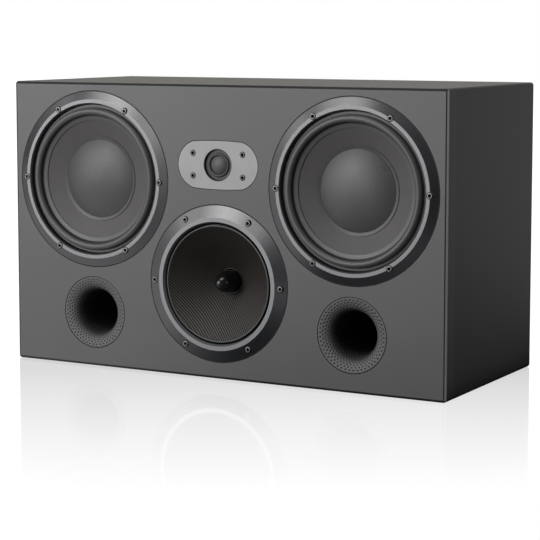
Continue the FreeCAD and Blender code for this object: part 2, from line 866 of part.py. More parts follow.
def make_tweeter():
    """Dome tweeter hung on its flush oval plate."""
    plate = new_body("tweeter_faceplate", up=TWEETER_UP)
    sketch = new_sketch(plate, "XZ_Plane")
    draw_faceplate_outline(sketch, "0", "0")
    pad(plate, sketch, "faceplate_thickness", reverse=True)
    aperture = new_sketch(plate, "XZ_Plane")
    draw_circle(aperture, "0", "0", "aperture_radius")
    hole = pocket(plate, aperture)
    radius = value("aperture_radius")
    rim = [
        f"Edge{n}"
        for n, edge in enumerate(hole.Shape.Edges, start=1)
        if edge.BoundBox.YMax < 1e-6 and abs(edge.BoundBox.XLength - 2 * radius) < 0.1
    ]
    chamfer = plate.newObject("PartDesign::Chamfer", "aperture_flare")
    chamfer.Base = (hole, rim)
    chamfer.setExpression("Size", bound("aperture_chamfer"))
    doc.recompute()

    base = "faceplate_thickness"
    sizes = ("tweeter_dome_radius", "tweeter_dome_rise", "tweeter_dome_wall")
    NODES.append(dome_shell("tweeter_dome", *sizes, base, "0", TWEETER_UP))

    roll_inner = "(tweeter_dome_radius + glue_line)"
    crest = f"({base} - tweeter_roll_rise)"
    rear = f"({base} + tweeter_flange_thickness)"
    turned(
        "tweeter_surround",
        [
            ("tweeter_flange_radius", rear),
            ("tweeter_flange_radius", base),
            ("tweeter_roll_radius", base),
            ("tweeter_roll_radius - tweeter_roll_bevel", crest),
            (f"{roll_inner} + tweeter_roll_bevel", crest),
            (roll_inner, base),
            (roll_inner, rear),
        ],
        up=TWEETER_UP,
    )

    inside = "(tweeter_dome_radius - tweeter_dome_wall)"
    plate_rear = f"({rear} + tweeter_plate_thickness)"
    magnet_rear = f"({plate_rear} + tweeter_magnet_thickness)"
    yoke_rear = f"({magnet_rear} + tweeter_yoke_thickness)"
    gap = "(tweeter_dome_radius + tweeter_gap)"
    pole = f"({inside} - tweeter_gap)"
    motor = "tweeter_motor_radius"
    pieces = {
        "tweeter_voice_coil": [
            (inside, base),
            (inside, "tweeter_coil_end"),
            ("tweeter_dome_radius", "tweeter_coil_end"),
            ("tweeter_dome_radius", base),
        ],
        "tweeter_top_plate": [(gap, rear), (gap, plate_rear), (motor, plate_rear), (motor, rear)],
        "tweeter_magnet": [
            ("tweeter_magnet_bore", plate_rear),
            ("tweeter_magnet_bore", magnet_rear),
            (motor, magnet_rear),
            (motor, plate_rear),
        ],
        "tweeter_yoke": [
            ("0", rear),
            ("0", yoke_rear),
            (motor, yoke_rear),
            (motor, magnet_rear),
            (pole, magnet_rear),
            (pole, rear),
        ],
    }
    for label, points in pieces.items():
        turned(label, points, up=TWEETER_UP)


# reflex ports


def make_ports():
    """Two tubes with a rounded flare at the front and a flush flange."""
    tube = "(port_throat_radius + port_wall)"
    flare_edge = "(port_throat_radius + port_flare_radius)"
    for side, across in (("left", "-port_offset"), ("right", "port_offset")):
        turned(
            f"{side}_port",
            [
                ("port_flange_radius", "0"),
                ("port_flange_radius", "port_flange_thickness"),
                ("port_shoulder_radius", "port_flange_thickness"),
                (tube, "port_flare_radius"),
                (tube, "port_length"),
                ("port_throat_radius", "port_length"),
                ("port_throat_radius", "port_flare_radius", "port_flare_radius", 1),
                (flare_edge, "0"),
            ],
            across,
            "0",
            "port_height",
        )


# rear terminals


def make_terminal_tray():
    """Moulded cup let into the rear panel, with a flange outside and two holes in its floor."""
    body = new_body("terminal_tray", back="cabinet_depth", up="tray_height")
    flange = new_sketch(body, "XZ_Plane")
    wide = "(tray_half_width + tray_flange)"
    tall = "(tray_half_height + tray_flange)"
    draw_rectangle(flange, f"-{wide}", f"-{tall}", wide, tall, "tray_corner_radius")
    pad(body, flange, "tray_flange_thickness", reverse=True)

    cup = new_sketch(body, "XZ_Plane")
    wide = "tray_half_width"
    tall = "tray_half_height"
    draw_rectangle(cup, f"-{wide}", f"-{tall}", wide, tall, "tray_corner_radius")
    pad(body, cup, "tray_depth")

    hollow = new_sketch(body, "XZ_Plane", lift="-tray_flange_thickness")
    wide = "(tray_half_width - tray_wall)"
    tall = "(tray_half_height - tray_wall)"
    inner_radius = "(tray_corner_radius - tray_wall)"
    draw_rectangle(hollow, f"-{wide}", f"-{tall}", wide, tall, inner_radius)
    depth = "tray_flange_thickness + tray_depth - tray_wall"
    pocket(body, hollow, depth, reverse=True)

    holes = new_sketch(body, "XZ_Plane", lift="tray_depth")
    for side in ("-", ""):
        draw_circle(holes, f"{side}post_spacing / 2", "0", "post_tail_radius + post_tail_fit")
    pocket(body, holes, "tray_wall")


def make_binding_posts():
    """Two bored posts through the tray's floor, each with a six-sided clamping knob."""
    floor = "(cabinet_depth - tray_depth + tray_wall)"
    tip = "(post_collar_height + post_length)"
    for name, across in (("positive", "-post_spacing / 2"), ("negative", "post_spacing / 2")):
        turned(
            f"{name}_post",
            [
                ("0", "-post_tail_length"),
                ("post_tail_radius", "-post_tail_length"),
                ("post_tail_radius", "0"),
                ("post_collar_radius", "0"),
                ("post_collar_radius", "post_collar_height"),
                ("post_radius", "post_collar_height"),
                ("post_radius", tip),
                ("plug_bore_radius", tip),
                ("plug_bore_radius", f"{tip} - plug_bore_depth"),
                ("0", f"{tip} - plug_bore_depth"),
            ],
            across,
            floor,
            "tray_height",
        )
        back = f"{floor} + post_collar_height + knob_clearance"
        knob = new_body(f"{name}_knob", across, back, "tray_height")
        sketch = new_sketch(knob, "XZ_Plane")
        corners = [(f"knob_radius * cos({angle})", f"knob_radius * sin({angle})") for angle in range(0, 360, 60)]
        draw_outline(sketch, corners)
        draw_circle(sketch, "0", "0", "post_radius + knob_clearance")
        pad(knob, sketch, "knob_length", reverse=True)


# crossover


def make_crossover():
    """Filter board on four feet on the rear panel, with air-cored coils and film capacitors."""
    across = "(tray_half_width + tray_flange + board_tray_gap + board_width / 2)"
    wall = "cabinet_depth - rear_thickness"
    bottom = "panel_thickness + board_floor_gap"
    board = new_body("crossover_board", across, wall, bottom)
    half = "board_width / 2"
    card = new_sketch(board, "XZ_Plane", lift="board_foot_height")
    draw_rectangle(card, f"-{half}", "0", half, "board_height")
    pad(board, card, "board_thickness")
    feet = new_sketch(board, "XZ_Plane")
    for left in (f"-{half}", f"({half} - board_foot)"):
        for low in ("0", "(board_height - board_foot)"):
            draw_rectangle(feet, left, low, f"{left} + board_foot", f"{low} + board_foot")
    pad(board, feet, "board_foot_height")

    face = f"{wall} - board_foot_height - board_thickness"
    middle = f"{bottom} + board_height - inductor_radius"
    coils = new_body("crossover_inductors", f"{across} - inductor_pitch", face, middle)
    ring = new_sketch(coils, "XZ_Plane")
    draw_circle(ring, "0", "0", "inductor_radius")
    draw_circle(ring, "0", "0", "inductor_bore")
    repeat_across(coils, pad(coils, ring, "inductor_height"), 3, "inductor_pitch")

    capacitors = new_body("crossover_capacitors", f"{across} - 1.5 * capacitor_pitch", face, bottom)
    block = new_sketch(capacitors, "XZ_Plane")
    draw_rectangle(block, "-capacitor_width / 2", "0", "capacitor_width / 2", "capacitor_length")
    repeat_across(capacitors, pad(capacitors, block, "capacitor_height"), 4, "capacitor_pitch")


def check_document():
    """Stop if any feature failed, any cut missed its solid or any sub-part is not sound."""
    for item in doc.Objects:
        if "Invalid" in item.State or "Error" in item.State:
            raise RuntimeError(f"{item.Label} did not build: {item.State}")
        if item.TypeId == "PartDesign::Pocket":
            if item.Shape.Volume >= item.BaseFeature.Shape.Volume:
                raise RuntimeError(f"{item.Label} cuts nothing")
    for node in NODES:
        if node.Shape.isNull() or not node.Shape.isValid() or not node.Shape.Solids:
            raise RuntimeError(f"{node.Label} has no sound shape")


make_front_baffle()
make_wrap_panels()
make_rear_panel()
make_window_brace()
make_midrange_chamber()
make_wadding()
make_woofers()
make_midrange()
make_tweeter()
make_ports()
make_terminal_tray()
make_binding_posts()
make_crossover()
doc.recompute()
check_document()

os.makedirs("parts", exist_ok=True)
for node in NODES:
    node.Shape.exportStep(f"parts/{node.Label}.step")
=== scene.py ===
"""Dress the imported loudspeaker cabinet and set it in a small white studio.

Sizes in the dataclasses are millimetres, and depth counts back from the cabinet's front face.
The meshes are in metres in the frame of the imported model: the front faces -Y and Z is up.
"""

from __future__ import annotations

import logging
import math
from dataclasses import dataclass
from enum import Enum

import bmesh
import bpy
import numpy as np
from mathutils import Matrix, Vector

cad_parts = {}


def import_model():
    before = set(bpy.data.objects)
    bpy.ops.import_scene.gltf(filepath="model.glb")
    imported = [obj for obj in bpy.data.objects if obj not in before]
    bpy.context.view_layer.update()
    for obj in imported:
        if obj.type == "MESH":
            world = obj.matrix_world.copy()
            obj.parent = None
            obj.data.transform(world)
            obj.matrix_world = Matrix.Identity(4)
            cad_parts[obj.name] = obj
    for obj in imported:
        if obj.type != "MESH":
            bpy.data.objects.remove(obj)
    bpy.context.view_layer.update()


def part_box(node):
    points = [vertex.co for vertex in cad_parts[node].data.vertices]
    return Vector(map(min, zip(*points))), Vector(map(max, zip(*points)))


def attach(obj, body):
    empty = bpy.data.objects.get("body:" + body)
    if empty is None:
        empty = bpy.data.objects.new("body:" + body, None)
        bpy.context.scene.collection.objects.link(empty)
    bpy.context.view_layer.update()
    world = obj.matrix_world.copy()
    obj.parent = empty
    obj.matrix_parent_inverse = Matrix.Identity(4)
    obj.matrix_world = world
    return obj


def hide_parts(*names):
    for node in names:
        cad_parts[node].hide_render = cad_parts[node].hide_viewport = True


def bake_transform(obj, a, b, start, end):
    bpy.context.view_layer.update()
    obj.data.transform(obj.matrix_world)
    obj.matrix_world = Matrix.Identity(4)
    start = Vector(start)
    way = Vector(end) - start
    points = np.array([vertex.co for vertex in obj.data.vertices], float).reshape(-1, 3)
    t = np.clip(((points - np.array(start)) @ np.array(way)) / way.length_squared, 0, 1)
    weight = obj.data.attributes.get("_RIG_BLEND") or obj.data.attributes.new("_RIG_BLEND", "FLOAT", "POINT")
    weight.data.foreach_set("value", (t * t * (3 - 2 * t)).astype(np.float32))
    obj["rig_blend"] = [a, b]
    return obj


LOG = logging.getLogger("loudspeaker")
MM = 0.001
MERGE_DISTANCE = 1e-7
CABINET = "cabinet"
FRONT_NODE = "front_baffle"
MARK = "mark"
BEND_SHARE = "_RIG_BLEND"
FINE_LAYERS = 2.0
BROAD_LAYERS = 3.0
FIBRE_LAYERS = 4.0

Colour = tuple[float, float, float]
Place = tuple[float, float, float]
Span = tuple[float, float]
Settings = dict[str, object]
Sockets = dict[str | int, object]

WHITE: Colour = (1.0, 1.0, 1.0)
MOTTLE_SPAN: Span = (0.3, 0.7)


class Side(Enum):
    """The two halves of the cabinet, seen from the front."""

    LEFT = "left"
    RIGHT = "right"


# shader writing


class Value:
    """A number in a shader, on which Python's operators add Math nodes."""

    def __init__(self, tree: Tree, socket: bpy.types.NodeSocket) -> None:
        """Keep the socket and the tree that it belongs to."""
        self.tree = tree
        self.socket = socket

    def __add__(self, other: Value | float) -> Value:
        """Sum."""
        return self.tree.math("ADD", self, other)

    __radd__ = __add__

    def __sub__(self, other: Value | float) -> Value:
        """Difference."""
        return self.tree.math("SUBTRACT", self, other)

    def __rsub__(self, other: float) -> Value:
        """Difference from a plain number."""
        return self.tree.math("SUBTRACT", other, self)

    def __mul__(self, other: Value | float) -> Value:
        """Product."""
        return self.tree.math("MULTIPLY", self, other)

    __rmul__ = __mul__

    def __truediv__(self, other: Value | float) -> Value:
        """Quotient."""
        return self.tree.math("DIVIDE", self, other)

    def __pow__(self, other: float) -> Value:
        """Power."""
        return self.tree.math("POWER", self, other)

    def __mod__(self, other: float) -> Value:
        """Remainder, never below zero."""
        return self.tree.math("FLOORED_MODULO", self, other)

    def __abs__(self) -> Value:
        """Size without sign."""
        return self.tree.math("ABSOLUTE", self)

    def __gt__(self, other: Value | float) -> Value:
        """One where this is greater, else zero."""
        return self.tree.math("GREATER_THAN", self, other)

    def __lt__(self, other: Value | float) -> Value:
        """One where this is less, else zero."""
        return self.tree.math("LESS_THAN", self, other)

    def sine(self) -> Value:
        """Sine of an angle in radians."""
        return self.tree.math("SINE", self)

    def cosine(self) -> Value:
        """Cosine of an angle in radians."""
        return self.tree.math("COSINE", self)

    def least(self, other: Value | float) -> Value:
        """The smaller of two numbers."""
        return self.tree.math("MINIMUM", self, other)

    def most(self, other: Value | float) -> Value:
        """The greater of two numbers."""
        return self.tree.math("MAXIMUM", self, other)

    def ease(self, low: float, high: float) -> Value:
        """Smooth step.

        Args:
            low: Where the result is still zero.
            high: Where the result reaches one.

        Returns:
            The eased share.
        """
        settings = {"interpolation_type": "SMOOTHSTEP"}
        sockets = {"Value": self, "From Min": low, "From Max": high}
        node = self.tree.add("ShaderNodeMapRange", settings, sockets)
        return Value(self.tree, node.outputs["Result"])

    def step(self, place: float, soft: float) -> Value:
        """Smooth step about a place, with its half width."""
        return self.ease(place - soft, place + soft)

    def span(self, low: float, high: float) -> Value:
        """Stretch a share from zero to one over another span."""
        return self * (high - low) + low


class Tree:
    """The node tree of a material or a world, written from its sources to its output."""

    def __init__(self, owner: bpy.types.Material | bpy.types.World) -> None:
        """Empty the owner's node tree.

        Args:
            owner: What the tree shades.
        """
        owner.use_nodes = True
        self.owner = owner
        self.nodes = owner.node_tree.nodes
        self.links = owner.node_tree.links
        self.nodes.clear()

    @classmethod
    def of_material(cls, name: str) -> Tree:
        """Start a new material."""
        return cls(bpy.data.materials.new(name))

    def add(
        self, kind: str, settings: Settings | None = None, sockets: Sockets | None = None
    ) -> bpy.types.Node:
        """Add a node.

        Args:
            kind: The node's type.
            settings: Properties, set before any socket.
            sockets: Inputs by name or number, each a link, a Value or a constant.

        Returns:
            The new node.
        """
        node = self.nodes.new(kind)
        for name, setting in (settings or {}).items():
            setattr(node, name, setting)
        self.feed(node, sockets or {})
        return node

    def feed(self, node: bpy.types.Node, sockets: Sockets) -> None:
        """Set or link a node's inputs.

        Args:
            node: The node to feed.
            sockets: Inputs by name or number, each a link, a Value or a constant.
        """
        for name, source in sockets.items():
            if isinstance(source, Value):
                source = source.socket
            if isinstance(source, bpy.types.NodeSocket):
                self.links.new(source, node.inputs[name])
            elif isinstance(source, tuple) and len(source) == 3 and node.inputs[name].type == "RGBA":
                node.inputs[name].default_value = (*source, 1.0)
            else:
                node.inputs[name].default_value = source

    def math(self, operation: str, *terms: Value | float) -> Value:
        """Add a Math node over some terms and give its result."""
        node = self.add("ShaderNodeMath", {"operation": operation}, dict(enumerate(terms)))
        return Value(self, node.outputs[0])

    def ray(self, kind: str) -> Value:
        """Give one for rays of a kind, as Light Path names it, else zero."""
        return Value(self, self.add("ShaderNodeLightPath").outputs[kind])

    def spot(self) -> bpy.types.NodeSocket:
        """Read the shaded point's own coordinates.

        Returns:
            The point in millimetres.
        """
        place = self.add("ShaderNodeTexCoord").outputs["Object"]
        node = self.add("ShaderNodeVectorMath", {"operation": "SCALE"}, {0: place, "Scale": 1 / MM})
        return node.outputs[0]

    def parts(self, vector: bpy.types.NodeSocket) -> tuple[Value, Value, Value]:
        """Split a vector into its three numbers."""
        node = self.add("ShaderNodeSeparateXYZ", None, {0: vector})
        return Value(self, node.outputs[0]), Value(self, node.outputs[1]), Value(self, node.outputs[2])

    def join(self, x: Value | float, y: Value | float, z: Value | float) -> bpy.types.NodeSocket:
        """Make a vector of three numbers."""
        return self.add("ShaderNodeCombineXYZ", None, {0: x, 1: y, 2: z}).outputs[0]

    def noise(self, vector: bpy.types.NodeSocket, size: float, layers: float = FINE_LAYERS) -> Value:
        """Soft noise from zero to one.

        Args:
            vector: Where it is read, in millimetres.
            size: The size of its patches in millimetres.
            layers: How many finer layers it has.

        Returns:
            The noise.
        """
        sockets = {"Vector": vector, "Scale": 1 / size, "Detail": layers}
        return Value(self, self.add("ShaderNodeTexNoise", None, sockets).outputs[0])

    def mark(self) -> Value:
        """Give the share that a piece's own samples carry."""
        settings = {"attribute_type": "GEOMETRY", "attribute_name": MARK}
        return Value(self, self.add("ShaderNodeAttribute", settings).outputs["Fac"])

    def mix(
        self, share: Value, first: Colour | bpy.types.NodeSocket, second: Colour | bpy.types.NodeSocket
    ) -> bpy.types.NodeSocket:
        """Blend two colours by a share and give the colour socket."""
        sockets = {0: share, 6: first, 7: second}
        return self.add("ShaderNodeMix", {"data_type": "RGBA"}, sockets).outputs[2]

    def relief(self, height: Value, depth: float) -> bpy.types.NodeSocket:
        """Turn a height from zero to one into a bumped normal, with its depth in millimetres."""
        sockets = {"Height": height, "Strength": 1.0, "Distance": depth * MM}
        return self.add("ShaderNodeBump", None, sockets).outputs[0]

    def blend(self, share: Value, first: bpy.types.Node, second: bpy.types.Node) -> bpy.types.Node:
        """Mix two shaders by a share."""
        return self.add("ShaderNodeMixShader", None, {0: share, 1: first.outputs[0], 2: second.outputs[0]})

    def close(self, shader: bpy.types.Node) -> bpy.types.Material | bpy.types.World:
        """Join the last shader to the output.

        Args:
            shader: The node whose first output is the finished shader.

        Returns:
            The material or world that the tree belongs to.
        """
        world = isinstance(self.owner, bpy.types.World)
        kind = "ShaderNodeOutputWorld" if world else "ShaderNodeOutputMaterial"
        self.add(kind, None, {"Surface": shader.outputs[0]})
        return self.owner

    def finish(self, sockets: Sockets) -> bpy.types.Material:
        """Feed a Principled shader and give the finished material."""
        return self.close(self.add("ShaderNodeBsdfPrincipled", None, sockets))


def mottle(broad: Value, fine: Value, share: float) -> Value:
    """Mix broad patches, by their share, with fine grain into one eased tone."""
    return (broad * share + fine * (1 - share)).ease(*MOTTLE_SPAN)


# places and sizes that finishes and pieces share


def full_turn(steps: int) -> np.ndarray:
    """Give even angles round a full turn, without the last, which is the first again."""
    return np.linspace(0.0, math.tau, steps, endpoint=False)


@dataclass(frozen=True)
class Axis:
    """A round piece's axis, in metres, with the level of the front face."""

    x: float
    front: float
    z: float

    @classmethod
    def of_node(cls, node: str) -> Axis:
        """Take the axis from the middle of a round node."""
        low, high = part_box(node)
        return cls((low.x + high.x) / 2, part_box(FRONT_NODE)[0].y, (low.z + high.z) / 2)

    def shifted(self, across: float, up: float) -> Axis:
        """Give a parallel axis moved by millimetres across and up."""
        return Axis(self.x + across * MM, self.front, self.z + up * MM)

    def place(self, radius: np.ndarray, depth: np.ndarray, angle: np.ndarray) -> np.ndarray:
        """Put round coordinates into the frame.

        A point at radius r, depth d and angle a lies at x + r cos a, front + d, z + r sin a.

        Args:
            radius: Radii in millimetres, by rows and columns.
            depth: Depths in millimetres, by rows and columns.
            angle: The angle of each column.

        Returns:
            Points in metres, by rows and columns.
        """
        x = self.x + radius * MM * np.cos(angle)
        z = self.z + radius * MM * np.sin(angle)
        return np.stack([x, np.broadcast_to(self.front + depth * MM, x.shape), z], axis=-1)

    def turn(self, profile: np.ndarray, steps: int) -> np.ndarray:
        """Carry a profile round the axis, at even angles.

        Args:
            profile: Rows of radius and depth in millimetres.
            steps: How many angles make the full turn.

        Returns:
            Points in metres, one row per profile point and one column per angle.
        """
        return self.place(profile[:, :1], profile[:, 1:], full_turn(steps))

    def polar(self, tree: Tree) -> tuple[Value, Value, Value]:
        """Give a shader its point in round coordinates.

        Args:
            tree: The material's tree.

        Returns:
            The radius in millimetres, the angle in radians and the depth in millimetres.
        """
        across, back, up = tree.parts(tree.spot())
        across = across - self.x / MM
        up = up - self.z / MM
        radius = (across * across + up * up) ** 0.5
        return radius, tree.math("ARCTAN2", up, across), back - self.front / MM


@dataclass(frozen=True)
class Casting:
    """The radii of a driver's cast ring and the circle of its screws."""

    rim: float
    lip_inner: float
    lip_outer: float
    screw_circle: float
    screw_count: int = 6
    recess: float = 4.8

    def screw_places(self, axis: Axis) -> list[Axis]:
        """Spread the screws evenly round their circle.

        Args:
            axis: The driver's axis.

        Returns:
            The screws' axes.
        """
        circle = self.screw_circle
        angles = full_turn(self.screw_count)
        return [axis.shifted(circle * math.cos(angle), circle * math.sin(angle)) for angle in angles]


# finishes


@dataclass(frozen=True)
class Grain:
    """A plain finish whose tone, gloss and relief wander with fine noise."""

    name: str
    tint: Colour
    shade: Colour
    roughness: float
    wander: float = 0.05
    metallic: float = 0.0
    specular: float = 0.5
    coat: float = 0.0
    patch: float = 40.0
    patch_share: float = 0.6
    grain: float = 0.9
    depth: float = 0.02

    def paint(self) -> bpy.types.Material:
        """Build the material: broad patches move the tone, fine grain moves gloss and relief.

        Returns:
            The new material.
        """
        tree = Tree.of_material(self.name)
        spot = tree.spot()
        broad = tree.noise(spot, self.patch, BROAD_LAYERS)
        fine = tree.noise(spot, self.grain)
        return tree.finish(
            {
                "Base Color": tree.mix(mottle(broad, fine, self.patch_share), self.tint, self.shade),
                "Roughness": fine.span(self.roughness - self.wander, self.roughness + self.wander),
                "Metallic": self.metallic,
                "Specular IOR Level": self.specular,
                "Coat Weight": self.coat,
                "Normal": tree.relief(fine, self.depth),
            }
        )


@dataclass(frozen=True)
class FrontMasks:
    """The shares of the front board: joint and seats, painted dark as shade; wrapped side; side edges,
    painted light as a highlight; and the top edge.
    """

    joint_seat_shade: Value
    rear: Value
    edge: Value
    lit_roof: Value


@dataclass(frozen=True)
class FrontFinish:
    """Satin paint on the front field and rounded edge, with painted shade on the joint between them and in
    the seats, and a painted highlight on the side edges.
    """

    name: str
    low: Vector
    high: Vector
    tint: Colour = (0.102, 0.102, 0.104)
    shade: Colour = (0.093, 0.093, 0.095)
    # dark: painted shade on the joint line round the field and in the seats behind the face
    dark: Colour = (0.007, 0.007, 0.007)
    wrap: Colour = (0.0062, 0.006, 0.0058)
    # The top's paint on the top edge: its own warm tint, made lighter than the wrap as painted light.
    lit_roof: Colour = (0.04, 0.028, 0.009)
    # edge: lighter paint on the rounded side edges, a painted highlight
    edge: Colour = (0.26, 0.26, 0.262)
    side_land: float = 1.9
    top_land: float = 0.8
    joint_inner: float = 3.7
    line_soft: float = 0.2
    round_depth: float = 3.2
    round_soft: float = 0.3
    seat_span: Span = (0.14, 0.7)
    roof_span: Span = (-0.9, -0.3)
    patch: float = 120.0
    patch_share: float = 0.7
    grain: float = 0.7
    grain_depth: float = 0.012
    gloss: Span = (0.38, 0.46)
    dull_joint: float = 0.3
    dull_side: float = 0.12
    specular: float = 0.4
    coat_roughness: float = 0.3

    def masks(self, tree: Tree, spot: bpy.types.NodeSocket) -> FrontMasks:
        """Part the board by the way in from its edges and by the depth behind its face.

        Args:
            tree: The material's tree.
            spot: The shaded point in millimetres.

        Returns:
            The shares of the board's parts.
        """
        x, back, z = tree.parts(spot)
        depth = back - self.low.y / MM
        middle = (self.high + self.low) / 2 / MM
        half = (self.high - self.low) / 2 / MM
        aside = half.x - abs(x - middle.x)
        above = half.z - abs(z - middle.z)
        field = aside.least(above).step(self.joint_inner, self.line_soft)
        inward = (aside - self.side_land).least(above - self.top_land).step(0.0, self.line_soft)
        # The joint line and the seats behind the face are painted dark, as painted shade of a groove and of
        # the seams round the drivers.
        joint = inward * (1 - field)
        seat = field * depth.ease(*self.seat_span)
        rear = depth.step(self.round_depth, self.round_soft) * (1 - field)
        # The rounded side edges outside the joint take lighter paint, a painted highlight, and the coat.
        edge = (1 - aside.step(self.side_land, self.line_soft)) * (1 - rear)
        # The top edge takes the top's paint: its own warm tint, lightened as painted light.
        lit_roof = (z - self.high.z / MM).ease(*self.roof_span)
        return FrontMasks(joint.most(seat) * (1 - rear), rear, edge, lit_roof)

    def paint(self) -> bpy.types.Material:
        """Build the material from the board's parts, each with its own tone and gloss; joint and seats take
        painted shade and the side edges a painted highlight.

        Returns:
            The new material.
        """
        tree = Tree.of_material(self.name)
        spot = tree.spot()
        masks = self.masks(tree, spot)
        broad = tree.noise(spot, self.patch, BROAD_LAYERS)
        fine = tree.noise(spot, self.grain)
        satin = tree.mix(mottle(broad, fine, self.patch_share), self.tint, self.shade)
        # Painted highlight: lighter paint on the rounded side edges.
        satin = tree.mix(masks.edge, satin, self.edge)
        cover = tree.mix(masks.lit_roof, self.wrap, self.lit_roof)
        dull = masks.joint_seat_shade * self.dull_joint + masks.rear * self.dull_side
        return tree.finish(
            {
                "Base Color": tree.mix(masks.joint_seat_shade, tree.mix(masks.rear, satin, cover), self.dark),
                "Roughness": fine.span(*self.gloss) + dull,
                "Specular IOR Level": self.specular,
                "Coat Weight": masks.edge,
                "Coat Roughness": self.coat_roughness,
                "Normal": tree.relief(fine, self.grain_depth),
            }
        )


@dataclass(frozen=True)
class ScrewFinish:
    """A bright screw head whose socket is painted black as shade."""

    name: str
    face: float
    head: Colour
    # socket: black paint on what lies behind the head's face, painted shade in the socket
    socket: Colour = (0.002, 0.002, 0.002)
    sunk_span: Span = (0.1, 0.25)
    grain: float = 0.8
    grain_depth: float = 0.01
    gloss: Span = (0.28, 0.42)
    dull_socket: float = 0.55
    metallic: float = 0.7
    specular: float = 0.05

    def paint(self) -> bpy.types.Material:
        """Build the material: what lies behind the head's face is painted black, as shade in the socket.

        Returns:
            The new material.
        """
        tree = Tree.of_material(self.name)
        spot = tree.spot()
        _, back, _ = tree.parts(spot)
        # Painted shade: the socket behind the head's face is painted black.
        sunk_shade = (back - self.face).ease(*self.sunk_span)
        worn = tree.noise(spot, self.grain, BROAD_LAYERS)
        return tree.finish(
            {
                "Base Color": tree.mix(sunk_shade, self.head, self.socket),
                "Roughness": worn.span(*self.gloss) + sunk_shade * self.dull_socket,
                "Metallic": self.metallic - sunk_shade * self.metallic,
                "Specular IOR Level": self.specular,
                "Normal": tree.relief(worn, self.grain_depth),
            }
        )


@dataclass(frozen=True)
class PlateFinish:
    """A satin plate with counterbores at four places that mirror each other; the counterbores and the
    aperture wall are painted dark as shade.
    """

    name: str
    axis: Axis
    across: float
    up: float
    recess: float
    tint: Colour = (0.297, 0.292, 0.297)
    shade: Colour = (0.271, 0.266, 0.271)
    # Painted shade: the dark colour of the counterbores and the aperture wall.
    sunk_shade: Colour = (0.02, 0.02, 0.021)
    wall_shade_span: Span = (0.1, 0.5)
    patch: float = 20.0
    patch_share: float = 0.6
    grain: float = 0.5
    grain_depth: float = 0.01
    gloss: Span = (0.38, 0.46)
    dull_wall: float = 0.4
    metallic: float = 0.15

    def paint(self) -> bpy.types.Material:
        """Build the material: the distance to the nearest screw parts plate and counterbore, and the
        counterbores and aperture wall take painted shade.

        Returns:
            The new material.
        """
        tree = Tree.of_material(self.name)
        spot = tree.spot()
        x, back, z = tree.parts(spot)
        aside = abs(x - self.axis.x / MM) - self.across
        above = abs(z - self.axis.z / MM) - self.up
        # Painted shade: counterbores round the screws and everything behind the plate's face are painted
        # dark.
        hole_shade = (aside * aside + above * above) < self.recess**2
        dark = hole_shade.most((back - self.axis.front / MM).ease(*self.wall_shade_span))
        fine = tree.noise(spot, self.grain)
        broad = tree.noise(spot, self.patch)
        satin = tree.mix(mottle(broad, fine, self.patch_share), self.tint, self.shade)
        return tree.finish(
            {
                "Base Color": tree.mix(dark, satin, self.sunk_shade),
                "Roughness": fine.span(*self.gloss) + dark * self.dull_wall,
                "Metallic": self.metallic - dark * self.metallic,
                "Normal": tree.relief(fine, self.grain_depth),
            }
        )


@dataclass(frozen=True)
class RingFinish:
    """A casting with a dark glossy bevel and a bright turned lip. Its dull outer rim edge is painted dark,
    partly its own dark edge and partly painted shade of the seam; its screw recesses, and its inner wall
    further back, are painted dark as shade.
    """

    name: str
    axis: Axis
    casting: Casting
    bevel: Colour = (0.008, 0.009, 0.012)
    lip: Colour = (0.19, 0.19, 0.2)
    wall: Colour = (0.11, 0.11, 0.115)
    # The near-black colour is painted shade: on the inner wall further back, in the screw recesses and at
    # the rim edge.
    inside_shade: Colour = (0.006, 0.006, 0.007)
    edge: float = 0.6
    wall_shade_span: Span = (-3.5, 0.5)
    brush: float = 1.0
    brush_across: float = 3.0
    brush_along: float = 6.0
    brush_depth: float = 0.0003
    gloss: Span = (0.24, 0.27)
    dull_lip: float = 0.15
    dull_hole: float = 0.5
    lip_metallic: float = 0.2
    specular: float = 1.0

    def paint(self) -> bpy.types.Material:
        """Build the material from rings of radius round the driver's axis.

        A point's distance from the nearest screw follows from its radius, the screws' circle and the
        angle between them, by the rule of cosines.

        Returns:
            The new material.
        """
        tree = Tree.of_material(self.name)
        radius, angle, depth = self.axis.polar(tree)
        casting = self.casting
        circle = casting.screw_circle
        pitch = math.tau / casting.screw_count
        nearest = (angle + pitch / 2) % pitch - pitch / 2
        apart = radius * radius + circle * circle - 2 * circle * (radius * nearest.cosine())
        # The screw recesses and the outer rim edge are painted dark: painted shade, and at the rim partly
        # the casting's own dark edge.
        hole_shade = (apart < casting.recess**2).most(radius > casting.rim - self.edge)
        lip = (radius > casting.lip_inner) * (radius < casting.lip_outer) * (1 - hole_shade)
        strokes = tree.join(radius * self.brush_across, angle * self.brush_along, depth)
        brushed = tree.noise(strokes, self.brush, BROAD_LAYERS)
        # Painted shade: the inner wall darkens to near black further back.
        wall = tree.mix(depth.ease(*self.wall_shade_span), self.wall, self.inside_shade)
        dark = tree.mix(radius < casting.lip_inner, self.bevel, wall)
        dark = tree.mix(hole_shade, dark, self.inside_shade)
        return tree.finish(
            {
                "Base Color": tree.mix(lip, dark, self.lip),
                "Roughness": lip * self.dull_lip + hole_shade * self.dull_hole + brushed.span(*self.gloss),
                "Metallic": lip * self.lip_metallic,
                "Specular IOR Level": self.specular,
                "Normal": tree.relief(brushed, self.brush_depth),
            }
        )


